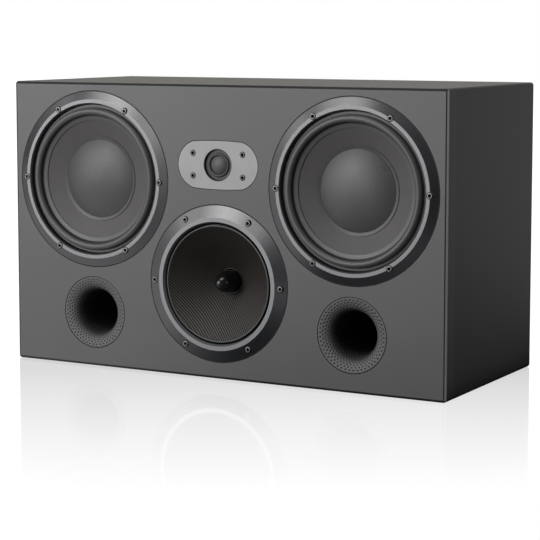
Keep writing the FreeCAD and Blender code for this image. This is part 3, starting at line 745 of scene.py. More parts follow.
@dataclass(frozen=True)
class ConeFinish:
    """A pressed diaphragm skin with fibre flecks and fine dark rings at given radii."""

    name: str
    axis: Axis
    tint: Colour
    shade: Colour
    rings: tuple[float, ...] = ()
    ring: Colour = (0.02, 0.02, 0.02)
    ring_span: Span = (0.2, 0.8)
    ring_share: float = 0.6
    roughness: float = 0.6
    wander: float = 0.06
    specular: float = 0.45
    fleck: float = 0.8
    fleck_span: Span = (0.35, 0.65)
    fleck_share: float = 0.7
    patch: float = 25.0
    depth: float = 0.06

    def paint(self) -> bpy.types.Material:
        """Build the material: flecks of noise, with a dark hairline at each ring.

        Returns:
            The new material.
        """
        tree = Tree.of_material(self.name)
        radius, _, _ = self.axis.polar(tree)
        spot = tree.spot()
        fleck = tree.noise(spot, self.fleck, FIBRE_LAYERS)
        broad = tree.noise(spot, self.patch)
        tone = fleck.ease(*self.fleck_span) * self.fleck_share + broad * (1 - self.fleck_share)
        skin = tree.mix(tone, self.shade, self.tint)
        height = fleck / 2
        for ring in self.rings:
            line = 1 - abs(radius - ring).ease(*self.ring_span)
            skin = tree.mix(line * self.ring_share, skin, self.ring)
            height = height - line / 2
        return tree.finish(
            {
                "Base Color": skin,
                "Roughness": broad.span(self.roughness - self.wander, self.roughness + self.wander),
                "Specular IOR Level": self.specular,
                "Normal": tree.relief(height, self.depth),
            }
        )


@dataclass(frozen=True)
class WeaveFinish:
    """A coated cloth cone of diagonal ribs, one set uppermost below the axis and the other above it."""

    name: str
    axis: Axis
    pitch: float = 2.85
    rim: float = 78.0
    rim_span: Span = (-0.5, 0.3)
    # Thread colours: lighter below the axis as a painted sheen, darker above as painted shade.
    yarn_sheen: Colour = (0.088, 0.081, 0.079)
    yarn_shade: Colour = (0.021, 0.0175, 0.015)
    gap: Colour = (0.0035, 0.0025, 0.0015)
    edge: Colour = (0.03, 0.03, 0.03)
    lean_span: Span = (-30.0, 45.0)
    yarn_sheen_span: Span = (-85.0, 50.0)
    gap_span: Span = (0.3, 0.9)
    rib_share: float = 0.8
    gloss: Span = (0.62, 0.46)
    specular: float = 0.12
    depth: float = 0.45

    def paint(self) -> bpy.types.Material:
        """Build the material from sines along both diagonals, with a plain band at the rim; the threads are
        painted lighter below the axis and darker above it, as painted sheen and shade.

        Returns:
            The new material.
        """
        tree = Tree.of_material(self.name)
        x, _, z = tree.parts(tree.spot())
        rate = math.pi / self.pitch / math.sqrt(2)
        falling = abs(((x + z) * rate).sine())
        rising = abs(((x - z) * rate).sine())
        above = z - self.axis.z / MM
        lean = above.ease(*self.lean_span)
        rib = falling + (rising - falling) * lean
        cross = rising + (falling - rising) * lean
        height = rib * self.rib_share + cross * (1 - self.rib_share)
        radius, _, _ = self.axis.polar(tree)
        rim = (radius - self.rim).ease(*self.rim_span)
        # Painted sheen and shade: the threads lighten below the axis and darken above it.
        yarn_sheen = tree.mix(above.ease(*self.yarn_sheen_span), self.yarn_sheen, self.yarn_shade)
        cloth = tree.mix(height.ease(*self.gap_span), self.gap, yarn_sheen)
        return tree.finish(
            {
                "Base Color": tree.mix(rim, cloth, self.edge),
                "Roughness": height.span(*self.gloss),
                "Specular IOR Level": self.specular,
                "Normal": tree.relief(height * (1 - rim), self.depth),
            }
        )


@dataclass(frozen=True)
class DimpleFinish:
    """Grained moulding with a satin lip, painted black as shade in its throat and painted dark as shade in
    its marked hollows.
    """

    name: str
    front: float
    tint: Colour = (0.125, 0.125, 0.128)
    shade: Colour = (0.105, 0.105, 0.108)
    # throat: painted shade, darkening the moulding further back in the port
    throat: Colour = (0.026, 0.026, 0.027)
    hollow_shade: Colour = (0.01, 0.01, 0.011)
    throat_shade_span: Span = (1.5, 11.0)
    hollow_span: Span = (0.1, 0.8)
    grain: float = 0.6
    grain_depth: float = 0.02
    gloss: Span = (0.45, 0.55)
    specular: float = 0.3

    def paint(self) -> bpy.types.Material:
        """Build the material from grain, the depth behind the front and the marks on the mesh.

        Returns:
            The new material.
        """
        tree = Tree.of_material(self.name)
        spot = tree.spot()
        _, back, _ = tree.parts(spot)
        fine = tree.noise(spot, self.grain)
        # Painted shade: the moulding darkens further back in the throat.
        deep_shade = (back - self.front / MM).ease(*self.throat_shade_span)
        grained = tree.mix(deep_shade, tree.mix(fine, self.tint, self.shade), self.throat)
        return tree.finish(
            {
                # Painted shade: the dimples are painted dark by their marks.
                "Base Color": tree.mix(tree.mark().ease(*self.hollow_span), grained, self.hollow_shade),
                "Roughness": fine.span(*self.gloss),
                "Specular IOR Level": self.specular,
                "Normal": tree.relief(fine, self.grain_depth),
            }
        )


@dataclass(frozen=True)
class RollFinish:
    """Satin rubber with painted shade in the valley at the roll's inner foot."""

    name: str
    axis: Axis
    valley: float
    valley_shade_span: Span = (0.38, 1.9)
    tint: Colour = (0.072, 0.072, 0.073)
    shade: Colour = (0.06, 0.06, 0.061)
    # dark: painted shade in the valley
    dark: Colour = (0.014, 0.014, 0.014)
    grain: float = 0.5
    grain_depth: float = 0.01
    gloss: Span = (0.36, 0.46)
    dull_valley: float = 0.3

    def paint(self) -> bpy.types.Material:
        """Build the material from fine grain and the distance to the valley's radius.

        Returns:
            The new material.
        """
        tree = Tree.of_material(self.name)
        radius, _, _ = self.axis.polar(tree)
        fine = tree.noise(tree.spot(), self.grain)
        # Painted shade: the rubber darkens towards the valley's radius.
        low = 1 - abs(radius - self.valley).ease(*self.valley_shade_span)
        return tree.finish(
            {
                "Base Color": tree.mix(low, tree.mix(fine, self.tint, self.shade), self.dark),
                "Roughness": fine.span(*self.gloss) + low * self.dull_valley,
                "Normal": tree.relief(fine, self.grain_depth),
            }
        )


@dataclass(frozen=True)
class WindingFinish:
    """Enamelled wire in close turns behind a bare dark former."""

    name: str
    start: float
    wire: float = 0.5
    tint: Colour = (0.45, 0.16, 0.07)
    shade: Colour = (0.12, 0.04, 0.02)
    former: Colour = (0.012, 0.012, 0.012)
    grain: float = 4.0
    gloss: Span = (0.25, 0.4)
    metallic: float = 0.8
    depth: float = 0.1

    def paint(self) -> bpy.types.Material:
        """Build the material from one sine per turn along the depth, from the winding's start on.

        Returns:
            The new material.
        """
        tree = Tree.of_material(self.name)
        spot = tree.spot()
        _, back, _ = tree.parts(spot)
        turn = abs((back * (math.pi / self.wire)).sine())
        worn = tree.noise(spot, self.grain)
        wound = back > self.start
        return tree.finish(
            {
                "Base Color": tree.mix(wound, self.former, tree.mix(turn, self.shade, self.tint)),
                "Roughness": worn.span(*self.gloss),
                "Metallic": wound * self.metallic,
                "Normal": tree.relief(turn * wound, self.depth),
            }
        )


# meshes


def grid_object(
    name: str,
    grids: np.ndarray,
    loop_rows: bool = False,
    sharp: float | None = None,
    marks: np.ndarray | None = None,
) -> bpy.types.Object:
    """Make one smooth closed piece of one or more grids whose columns run all the way round.

    Each cell joins a sample to the next in its row and column, and rows close up too where asked.
    Samples that fall together, as at a pole, become one.

    Args:
        name: The piece's name.
        grids: Points in metres, as grids by rows by columns by three.
        loop_rows: Whether the last row joins the first.
        sharp: The angle in degrees from which an edge stays crisp.
        marks: A share for every sample, kept as the attribute that a finish reads.

    Returns:
        The new object, in the scene.
    """
    count, rows, columns = grids.shape[:3]
    index = np.arange(count * rows * columns).reshape(count, rows, columns)
    if loop_rows:
        index = np.concatenate([index, index[:, :1]], axis=1)
    index = np.concatenate([index, index[:, :, :1]], axis=2)
    corners = [index[:, :-1, :-1], index[:, 1:, :-1], index[:, 1:, 1:], index[:, :-1, 1:]]
    quads = np.stack(corners, axis=-1).reshape(-1, 4)
    mesh = bpy.data.meshes.new(name)
    mesh.vertices.add(count * rows * columns)
    mesh.vertices.foreach_set("co", grids.astype(np.float32).ravel())
    mesh.loops.add(quads.size)
    mesh.loops.foreach_set("vertex_index", quads.astype(np.int32).ravel())
    mesh.polygons.add(len(quads))
    mesh.polygons.foreach_set("loop_start", np.arange(0, quads.size, 4, dtype=np.int32))
    mesh.update(calc_edges=True)
    if marks is not None:
        layer = mesh.attributes.new(MARK, "FLOAT", "POINT")
        layer.data.foreach_set("value", marks.astype(np.float32).ravel())
    shell = bmesh.new()
    shell.from_mesh(mesh)
    bmesh.ops.remove_doubles(shell, verts=shell.verts, dist=MERGE_DISTANCE)
    bmesh.ops.recalc_face_normals(shell, faces=shell.faces)
    shell.to_mesh(mesh)
    shell.free()
    mesh.polygons.foreach_set("use_smooth", np.ones(len(mesh.polygons), dtype=bool))
    if sharp is not None:
        mesh.set_sharp_from_angle(angle=math.radians(sharp))
    piece = bpy.data.objects.new(name, mesh)
    bpy.context.scene.collection.objects.link(piece)
    return piece


def dress(name: str, material: bpy.types.Material) -> None:
    """Give a node or a piece one material on all its faces.

    Args:
        name: The name of the node or piece.
        material: What it wears.
    """
    mesh = bpy.data.objects[name].data
    mesh.materials.clear()
    mesh.materials.append(material)
    LOG.info("%s wears %s", name, material.name)


@dataclass(frozen=True)
class Roll:
    """A half-round rubber surround between a fixed flange and a band on the diaphragm."""

    flange: float
    outer: float
    inner: float
    base: float
    rise: float
    band_radius: float
    band_depth: float
    thickest: float = 0.8
    wall_share: float = 0.25
    fullness: float = 0.85
    flat_rows: int = 5
    roll_rows: int = 48
    band_rows: int = 9
    steps: int = 240

    def section(self) -> np.ndarray:
        """Make the closed section.

        The top runs along the flat flange, over the roll and down the band. Over the roll the radius
        follows half a turn's cosine, and the height follows its sine to the power of the fullness. The
        underside is the top set back by the wall, which is a share of the rise up to the thickest.

        Returns:
            Rows of radius and depth in millimetres.
        """
        wall = min(self.thickest, self.wall_share * self.rise)
        sweep = np.linspace(0.0, math.pi, self.roll_rows)
        middle = (self.outer + self.inner) / 2
        half = (self.outer - self.inner) / 2
        height = self.rise * np.sin(sweep) ** self.fullness
        roll = np.stack([middle + half * np.cos(sweep), self.base - height], axis=-1)
        along = np.linspace(self.flange, self.outer, self.flat_rows + 1)[:-1]
        flat = np.stack([along, np.full(self.flat_rows, self.base)], axis=-1)
        share = np.linspace(0.0, 1.0, self.band_rows + 1)[1:]
        inward = self.inner + (self.band_radius - self.inner) * share
        band = np.stack([inward, self.base + (self.band_depth - self.base) * share], axis=-1)
        top = np.concatenate([flat, roll, band])
        return np.concatenate([top, top[::-1] + np.array([0.0, wall])])

    def bend(self, piece: bpy.types.Object, axis: Axis, body: str) -> None:
        """Bend the roll between the cabinet and a diaphragm by its radius.

        A point's share of the diaphragm's travel eases from nothing at the outer foot to all of it at
        the inner foot, in place of the share along one line.

        Args:
            piece: The roll, in its place.
            axis: The roll's axis.
            body: The diaphragm's body.
        """
        start = (axis.x + self.outer * MM, axis.front, axis.z)
        end = (axis.x + self.inner * MM, axis.front, axis.z)
        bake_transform(piece, CABINET, body, start=start, end=end)
        points = np.empty(len(piece.data.vertices) * 3, dtype=np.float32)
        piece.data.vertices.foreach_get("co", points)
        points = points.reshape(-1, 3)
        radius = np.hypot(points[:, 0] - axis.x, points[:, 2] - axis.z) / MM
        share = np.clip((self.outer - radius) / (self.outer - self.inner), 0.0, 1.0)
        share = share * share * (3 - 2 * share)
        piece.data.attributes[BEND_SHARE].data.foreach_set("value", share.astype(np.float32))

    def build(self, owner: str, axis: Axis, rubber: bpy.types.Material, sharp: float | None = None) -> None:
        """Put the roll in place of a driver's plain soft ring.

        Args:
            owner: The driver's name, which starts the names of its nodes.
            axis: The driver's axis.
            rubber: What the roll wears.
            sharp: The angle in degrees from which an edge stays crisp.
        """
        name = f"{owner}_roll"
        piece = grid_object(name, axis.turn(self.section(), self.steps)[None], loop_rows=True, sharp=sharp)
        dress(name, rubber)
        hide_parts(f"{owner}_surround")
        self.bend(piece, axis, f"{owner}_diaphragm")


@dataclass(frozen=True)
class Screws:
    """The hex-socket screw heads of one driver."""

    top: float
    radius: float = 3.9
    socket: float = 2.3
    socket_sides: int = 6
    sink: float = 0.8
    height: float = 4.0
    rim_share: float = 0.22
    rim_rows: int = 6
    mouth: float = 0.15
    floor_rise: float = 0.05
    head: Colour = (0.24, 0.24, 0.245)
    sharp: float = 40.0
    steps: int = 48

    def heads(self, places: list[Axis]) -> np.ndarray:
        """Work out one grid for each head.

        Rows run from the middle of the head's foot over a rounded rim to the socket's mouth, down its
        wall and in to the middle of its floor. A socket row's radius at angle a is its flat's half width
        divided by the cosine of a's distance from the nearest flat's middle.

        Args:
            places: The screws' axes.

        Returns:
            Points in metres, as grids by rows by columns.
        """
        angle = full_turn(self.steps)
        sector = math.tau / self.socket_sides
        hexagon = 1 / np.cos((angle + sector / 2) % sector - sector / 2)
        curl = np.linspace(0.0, math.pi / 2, self.rim_rows)
        rim = self.rim_share * self.radius
        shoulder = np.stack([self.radius - rim + rim * np.cos(curl), rim - rim * np.sin(curl)], axis=-1)
        round_rows = np.concatenate([[[0.0, self.height], [self.radius, self.height]], shoulder])
        hex_rows = np.array(
            [
                [self.socket + self.mouth, 0.0],
                [self.socket, self.mouth],
                [self.socket, self.sink - self.floor_rise],
                [0.0, self.sink],
            ]
        )
        round_radius = np.repeat(round_rows[:, :1], self.steps, axis=1)
        radius = np.concatenate([round_radius, hex_rows[:, :1] * hexagon])
        depth = np.concatenate([round_rows[:, 1:], hex_rows[:, 1:]]) + self.top
        return np.stack([place.place(radius, depth, angle) for place in places])

    def build(self, owner: str, places: list[Axis]) -> None:
        """Set the heads at their places as one piece.

        Args:
            owner: The driver's name.
            places: The screws' axes.
        """
        name = f"{owner}_screws"
        piece = grid_object(name, self.heads(places), sharp=self.sharp)
        face = places[0].front / MM + self.top
        dress(name, ScrewFinish(f"{owner}_screw_steel", face, self.head).paint())
        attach(piece, CABINET)


# sub-assemblies


class Palette:
    """The finishes that several sub-assemblies share."""

    # Y in millimetres from which a coil counts as wound: behind a bare former, or everywhere
    former_end = -100.0
    all_wound = -1000.0

    def __init__(self) -> None:
        """Build each shared material once."""
        steel = Grain("motor_steel", (0.42, 0.41, 0.38), (0.3, 0.3, 0.29), 0.35, metallic=0.9, patch=12)
        ferrite = Grain("ferrite", (0.05, 0.05, 0.055), (0.03, 0.03, 0.032), 0.7, grain=0.4, depth=0.05)
        cloth = Grain("spider_cloth", (0.52, 0.35, 0.12), (0.36, 0.22, 0.07), 0.8, grain=0.7, depth=0.2)
        board = Grain("raw_board", (0.42, 0.3, 0.18), (0.3, 0.2, 0.11), 0.8, patch=15, grain=0.6)
        moulding = Grain("black_moulding", (0.02, 0.02, 0.021), (0.028, 0.028, 0.028), 0.5, depth=0.04)
        self.steel = steel.paint()
        self.ferrite = ferrite.paint()
        self.cloth = cloth.paint()
        self.board = board.paint()
        self.moulding = moulding.paint()
        self.winding = WindingFinish("coil_wire", self.all_wound).paint()
        self.voice_coil = WindingFinish("voice_coil_wire", self.former_end).paint()


@dataclass
class Cabinet:
    """The wooden box with its bracing and damping."""

    palette: Palette
    wrapped: tuple[str, ...] = ("bottom_panel", "left_side_panel", "right_side_panel", "rear_panel")
    inner: tuple[str, ...] = ("window_brace", "midrange_chamber")
    wrap: Grain = Grain(
        "wrap_paint",
        (0.0125, 0.012, 0.0116),
        (0.0108, 0.0104, 0.01),
        0.48,
        specular=0.2,
        patch=90,
        grain=0.7,
    )
    # The top's paint: a warm tint of its own, made lighter than the wrap on the sides as painted light where
    # the top catches the light.
    lit_roof: Grain = Grain(
        "roof_lit_paint",
        (0.045, 0.031, 0.01),
        (0.036, 0.025, 0.008),
        0.48,
        specular=0.16,
        patch=60,
        grain=0.7,
    )
    fleece: Grain = Grain(
        "wadding_fleece", (0.72, 0.7, 0.64), (0.55, 0.53, 0.48), 0.95, grain=2.0, depth=0.8
    )

    def build(self) -> None:
        """Paint the outside and leave the inner boards raw."""
        dress(FRONT_NODE, FrontFinish("front_paint", *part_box(FRONT_NODE)).paint())
        wrap = self.wrap.paint()
        for node in self.wrapped:
            dress(node, wrap)
        dress("top_panel", self.lit_roof.paint())
        for node in self.inner:
            dress(node, self.palette.board)
        dress("rear_wadding", self.fleece.paint())


@dataclass
class Woofer:
    """One bass driver: casting, rolled surround, cone, cap and screws."""

    side: Side
    palette: Palette
    casting: Casting = Casting(rim=124.0, lip_inner=107.5, lip_outer=112.4, screw_circle=112.1)
    screws: Screws = Screws(top=-5.3)
    roll: Roll = Roll(
        flange=104.2, outer=101.0, inner=90.0, base=3.5, rise=8.0, band_radius=83.5, band_depth=5.6
    )
    roll_sharp: float = 60.0
    valley_inset: float = 0.2
    cone_tint: Colour = (0.081, 0.076, 0.076)
    cone_shade: Colour = (0.063, 0.059, 0.059)
    cap_tint: Colour = (0.076, 0.077, 0.077)
    cap_shade: Colour = (0.049, 0.05, 0.05)
    cap_rings: tuple[float, ...] = (55.4,)
    cap_roughness: float = 0.4
    cap_fleck: float = 1.6

    def __post_init__(self) -> None:
        """Read the driver's axis from its casting."""
        self.name = f"{self.side.value}_woofer"
        self.axis = Axis.of_node(f"{self.name}_chassis")

    def build(self) -> None:
        """Add the surround and the screws, then finish the nodes."""
        rubber = RollFinish(f"{self.name}_rubber", self.axis, self.roll.inner - self.valley_inset)
        self.roll.build(self.name, self.axis, rubber.paint(), self.roll_sharp)
        self.screws.build(self.name, self.casting.screw_places(self.axis))
        self.dress_nodes()

    def dress_nodes(self) -> None:
        """Finish the casting, the cone, the cap and the coil."""
        dress(f"{self.name}_chassis", RingFinish(f"{self.name}_ring", self.axis, self.casting).paint())
        cone = ConeFinish(f"{self.name}_cone_skin", self.axis, self.cone_tint, self.cone_shade)
        dress(f"{self.name}_cone", cone.paint())
        cap = ConeFinish(
            f"{self.name}_cap_skin",
            self.axis,
            self.cap_tint,
            self.cap_shade,
            rings=self.cap_rings,
            roughness=self.cap_roughness,
            fleck=self.cap_fleck,
        )
        dress(f"{self.name}_dust_cap", cap.paint())
        dress(f"{self.name}_voice_coil", self.palette.voice_coil)


@dataclass
class Midrange:
    """The woven-cone driver with its bullet plug."""

    palette: Palette
    casting: Casting = Casting(rim=108.0, lip_inner=85.5, lip_outer=91.5, screw_circle=99.2)
    screws: Screws = Screws(top=-5.4)
    name: str = "midrange"
    body: str = "midrange_diaphragm"
    plug_radius: float = 15.6
    plug_tip: float = 1.0
    plug_shoulder: float = 27.0
    plug_foot: float = 52.0
    plug_power: float = 1.2
    plug_rows: int = 40
    plug_steps: int = 96
    plug_sharp: float = 50.0
    bead_ring: float = 79.6
    bead_radius: float = 1.0
    bead_depth: float = -1.9
    bead_flatness: float = 0.7
    bead_rows: int = 20
    edge_outer: float = 79.0
    edge_inner: float = 76.0
    edge_front: float = -0.3
    edge_back: float = 4.0
    edge_slant: float = 1.6
    outer_bulge: float = 0.5
    inner_bulge: float = 0.4
    edge_rows: int = 12
    steps: int = 240
    gloss: Grain = Grain(
        "plug_gloss",
        (0.003, 0.003, 0.003),
        (0.005, 0.005, 0.005),
        0.19,
        wander=0.02,
        specular=0.6,
        depth=0.002,
    )
    satin: Grain = Grain(
        "bead_satin", (0.07, 0.07, 0.073), (0.058, 0.058, 0.061), 0.4, grain=0.5, depth=0.01
    )
    foam: Grain = Grain(
        "edge_foam", (0.02, 0.02, 0.02), (0.012, 0.012, 0.012), 0.85, grain=0.5, depth=0.15
    )

    def __post_init__(self) -> None:
        """Read the driver's axis from its casting."""
        self.axis = Axis.of_node("midrange_chassis")

    def build(self) -> None:
        """Add the plug, the edge, the bead and the screws, then finish the nodes."""
        self.build_plug()
        self.build_edge()
        self.build_bead()
        self.screws.build(self.name, self.casting.screw_places(self.axis))
        dress("midrange_chassis", RingFinish("midrange_ring", self.axis, self.casting).paint())
        dress("midrange_cone", WeaveFinish("midrange_weave", self.axis).paint())
        dress("midrange_voice_coil", self.palette.voice_coil)

    def build_plug(self) -> None:
        """Replace the coned plug with a smooth bullet.

        Along the nose the radius follows a power of a quarter turn's sine from tip to shoulder, and the
        depth follows one less its cosine. The foot is a plain cylinder.
        """
        sweep = np.linspace(0.0, math.pi / 2, self.plug_rows)
        radius = self.plug_radius * np.sin(sweep) ** self.plug_power
        depth = self.plug_tip + (self.plug_shoulder - self.plug_tip) * (1 - np.cos(sweep))
        foot = np.array([[self.plug_radius, self.plug_foot], [0.0, self.plug_foot]])
        profile = np.concatenate([np.stack([radius, depth], axis=-1), foot])
        grids = self.axis.turn(profile, self.plug_steps)[None]
        plug = grid_object("midrange_bullet", grids, sharp=self.plug_sharp)
        dress(plug.name, self.gloss.paint())
        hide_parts("midrange_phase_plug")
        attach(plug, CABINET)

    def build_bead(self) -> None:
        """Run a flattened round bead along the cone's rim.

        The section is a circle whose depth is drawn in by the flatness.
        """
        sweep = full_turn(self.bead_rows)
        radius = self.bead_ring + self.bead_radius * np.cos(sweep)
        depth = self.bead_depth + self.bead_flatness * self.bead_radius * np.sin(sweep)
        section = np.stack([radius, depth], axis=-1)
        bead = grid_object("midrange_bead", self.axis.turn(section, self.steps)[None], loop_rows=True)
        dress(bead.name, self.satin.paint())
        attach(bead, self.body)

    def build_edge(self) -> None:
        """Replace the plain edge ring with one whose walls bulge a little, bent along its depth.

        Each wall's radius swells by half a turn's sine from back to front, and the inner wall slants
        back by an even share along the way.
        """
        depth = np.linspace(self.edge_back, self.edge_front, self.edge_rows)
        swell = np.sin(np.linspace(0.0, math.pi, self.edge_rows))
        slant = self.edge_slant * np.linspace(0.0, 1.0, self.edge_rows)
        outer = np.stack([self.edge_outer + self.outer_bulge * swell, depth], axis=-1)
        inner = np.stack([self.edge_inner - self.inner_bulge * swell, depth + slant], axis=-1)
        section = np.concatenate([outer, inner[::-1]])
        edge = grid_object("midrange_foam_edge", self.axis.turn(section, self.steps)[None], loop_rows=True)
        dress(edge.name, self.foam.paint())
        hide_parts("midrange_edge_ring")
        fixed = (self.axis.x, self.axis.front + self.edge_back * MM, self.axis.z)
        moving = (self.axis.x, self.axis.front + (self.edge_front + self.edge_slant) * MM, self.axis.z)
        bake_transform(edge, CABINET, self.body, start=fixed, end=moving)


@dataclass
class Tweeter:
    """The dome in its oval plate."""

    palette: Palette
    name: str = "tweeter"
    screw_across: float = 39.05
    screw_up: float = 15.4
    recess: float = 4.4
    screws: Screws = Screws(
        top=-1.0, radius=3.6, socket=2.2, sink=0.7, height=2.0, head=(0.2, 0.2, 0.205)
    )
    roll: Roll = Roll(
        flange=21.0, outer=16.4, inner=13.1, base=3.9, rise=2.2, band_radius=12.9, band_depth=3.9, steps=160
    )
    rubber: Grain = Grain(
        "tweeter_rubber", (0.042, 0.042, 0.043), (0.034, 0.034, 0.035), 0.5, grain=0.4, depth=0.01
    )
    dome: Grain = Grain(
        "dome_satin", (0.075, 0.076, 0.078), (0.06, 0.061, 0.063), 0.5, patch=8, grain=0.4
    )

    def __post_init__(self) -> None:
        """Read the axis from the dome."""
        self.axis = Axis.of_node("tweeter_dome")

    def screw_places(self) -> list[Axis]:
        """Give the axes of the four screws, which mirror each other across and up."""
        corners = [(across, up) for across in (-1, 1) for up in (-1, 1)]
        return [self.axis.shifted(across * self.screw_across, up * self.screw_up) for across, up in corners]

    def build(self) -> None:
        """Add the surround and the four screws in their counterbores, then finish the nodes."""
        self.roll.build(self.name, self.axis, self.rubber.paint())
        self.screws.build(self.name, self.screw_places())
        plate = PlateFinish("faceplate_satin", self.axis, self.screw_across, self.screw_up, self.recess)
        dress("tweeter_faceplate", plate.paint())
        dress("tweeter_dome", self.dome.paint())
        dress("tweeter_voice_coil", self.palette.winding)


@dataclass
class Port:
    """One dimpled reflex port."""

    side: Side
    flange_radius: float = 50.4
    flange_thickness: float = 4.0
    flange_drop: float = 0.5
    flange_cut: float = 0.3
    shoulder_radius: float = 44.0
    flare_edge: float = 49.5
    flare_radius: float = 19.0
    throat_radius: float = 30.5
    tube_radius: float = 33.5
    length: float = 145.0
    dimpled_throat: float = 16.0
    dimples_round: int = 50
    dimple_rows: int = 12
    first_row: float = 2.9
    row_pitch: float = 3.7
    dimple_radius: float = 2.0
    dimple_depth: float = 1.0
    smallest_dimple: float = 0.6
    rows: int = 170
    columns: int = 500
    sharp: float = 50.0

    def __post_init__(self) -> None:
        """Read the port's axis from its node."""
        self.node = f"{self.side.value}_port"
        self.axis = Axis.of_node(self.node)

    def inner_wall(self) -> tuple[np.ndarray, np.ndarray, np.ndarray]:
        """Lay out the flare's quarter arc and the start of the straight throat.

        Returns:
            The way along the wall in millimetres, the rows of radius and depth there, and the wall's
            normal into the moulding.
        """
        arc = self.flare_radius * math.pi / 2
        way = np.linspace(0.0, arc + self.dimpled_throat, self.rows)
        swing = np.clip(way / self.flare_radius, 0.0, math.pi / 2)
        radius = self.flare_edge - self.flare_radius * np.sin(swing)
        depth = self.flare_radius * (1 - np.cos(swing)) + np.maximum(way - arc, 0.0)
        normal = np.stack([np.sin(swing), np.cos(swing)], axis=-1)
        return way, np.stack([radius, depth], axis=-1), normal

    def dents(self, way: np.ndarray, radius: np.ndarray, angle: np.ndarray) -> np.ndarray:
        """Give the depth of the dimples over the wall.

        Every row of dimples is turned half a pitch from the last. A dimple's depth at distance q from
        its middle, as a share of its radius, is (1 - q squared) squared.

        Args:
            way: The way along the wall at each row.
            radius: The wall's radius at each row.
            angle: The angle of each column.

        Returns:
            The depth in millimetres by row and column.
        """
        pitch = math.tau / self.dimples_round
        total = np.zeros((len(way), len(angle)))
        for row in range(self.dimple_rows):
            turned = angle - (row % 2) * pitch / 2
            across = ((turned + pitch / 2) % pitch - pitch / 2) * radius[:, None]
            along = (way - self.first_row - row * self.row_pitch)[:, None]
            narrowing = np.clip(radius[:, None] / self.flare_edge, self.smallest_dimple, 1.0)
            size = self.dimple_radius * narrowing
            share = np.clip(1 - (across**2 + along**2) / size**2, 0.0, 1.0)
            total += self.dimple_depth * share**2
        return total

    def outer_wall(self) -> np.ndarray:
        """Lay out the outside from the tube's rear end to the flange's front edge.

        Returns:
            Rows of radius and depth in millimetres.
        """
        return np.array(
            [
                [self.throat_radius, self.length],
                [self.tube_radius, self.length],
                [self.tube_radius, self.flare_radius],
                [self.shoulder_radius, self.flange_thickness],
                [self.flange_radius, self.flange_thickness],
                [self.flange_radius, self.flange_drop],
                [self.flange_radius - self.flange_cut, 0.0],
            ]
        )

    def build(self) -> None:
        """Replace the plain port with the dimpled moulding.

        The inner wall is set back along its normal by the dimples' depth, and the outside closes it.
        """
        way, wall, normal = self.inner_wall()
        angle = full_turn(self.columns)
        dent = self.dents(way, wall[:, 0], angle)
        outside = np.repeat(self.outer_wall()[:, None], self.columns, axis=1)
        radius = np.concatenate([wall[:, :1] + normal[:, :1] * dent, outside[..., 0]])
        depth = np.concatenate([wall[:, 1:] + normal[:, 1:] * dent, outside[..., 1]])
        marks = np.zeros(radius.shape)
        marks[: len(way)] = dent / self.dimple_depth
        name = f"{self.node}_moulding"
        points = self.axis.place(radius, depth, angle)
        tube = grid_object(name, points[None], loop_rows=True, sharp=self.sharp, marks=marks)
        dress(name, DimpleFinish(f"{self.node}_plastic", self.axis.front).paint())
        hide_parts(self.node)
        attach(tube, CABINET)


@dataclass
class Insides:
    """The motors, the terminals and the crossover."""

    palette: Palette
    gold: Grain = Grain(
        "post_gold", (0.78, 0.55, 0.2), (0.66, 0.44, 0.14), 0.25, metallic=1.0, patch=4, depth=0.005
    )
    red: Grain = Grain(
        "knob_red", (0.42, 0.015, 0.015), (0.34, 0.01, 0.01), 0.25, coat=0.3, patch=6, depth=0.005
    )
    black: Grain = Grain(
        "knob_black", (0.012, 0.012, 0.012), (0.018, 0.018, 0.018), 0.25, coat=0.3, patch=6, depth=0.005
    )
    card: Grain = Grain("board_resin", (0.02, 0.1, 0.04), (0.015, 0.075, 0.03), 0.4, patch=10, grain=0.8)
    film: Grain = Grain("capacitor_film", (0.55, 0.4, 0.07), (0.45, 0.32, 0.05), 0.3, patch=8)
    plates: tuple[str, ...] = ("woofer_top_plates", "midrange_top_plate", "tweeter_top_plate")
    yokes: tuple[str, ...] = ("woofer_yokes", "midrange_yoke", "tweeter_yoke")
    magnets: tuple[str, ...] = ("woofer_magnets", "midrange_magnet", "tweeter_magnet")
    spiders: tuple[str, ...] = ("woofer_spiders", "midrange_spider")
    posts: tuple[str, ...] = ("positive_post", "negative_post")

    def build(self) -> None:
        """Finish every node that the other sub-assemblies leave."""
        finishes = (
            (self.palette.steel, self.plates + self.yokes),
            (self.palette.ferrite, self.magnets),
            (self.palette.cloth, self.spiders),
            (self.palette.moulding, ("terminal_tray",)),
            (self.gold.paint(), self.posts),
            (self.red.paint(), ("positive_knob",)),
            (self.black.paint(), ("negative_knob",)),
            (self.card.paint(), ("crossover_board",)),
            (self.palette.winding, ("crossover_inductors",)),
            (self.film.paint(), ("crossover_capacitors",)),
        )
        for material, nodes in finishes:
            for node in nodes:
                dress(node, material)


# studio


@dataclass(frozen=True)
class Lamp:
    """A soft rectangular light, in metres and watts."""

    name: str
    place: Place
    width: float
    height: float
    power: float
    aim: Place = (0.0, -0.15, 0.25)

    def hang(self) -> None:
        """Add the light, turned to its aim."""
        light = bpy.data.lights.new(self.name, "AREA")
        light.shape = "RECTANGLE"
        light.size = self.width
        light.size_y = self.height
        light.energy = self.power
        lamp = bpy.data.objects.new(self.name, light)
        bpy.context.scene.collection.objects.link(lamp)
        way = Vector(self.aim) - Vector(self.place)
        lamp.location = self.place
        lamp.rotation_euler = way.to_track_quat("-Z", "Y").to_euler()


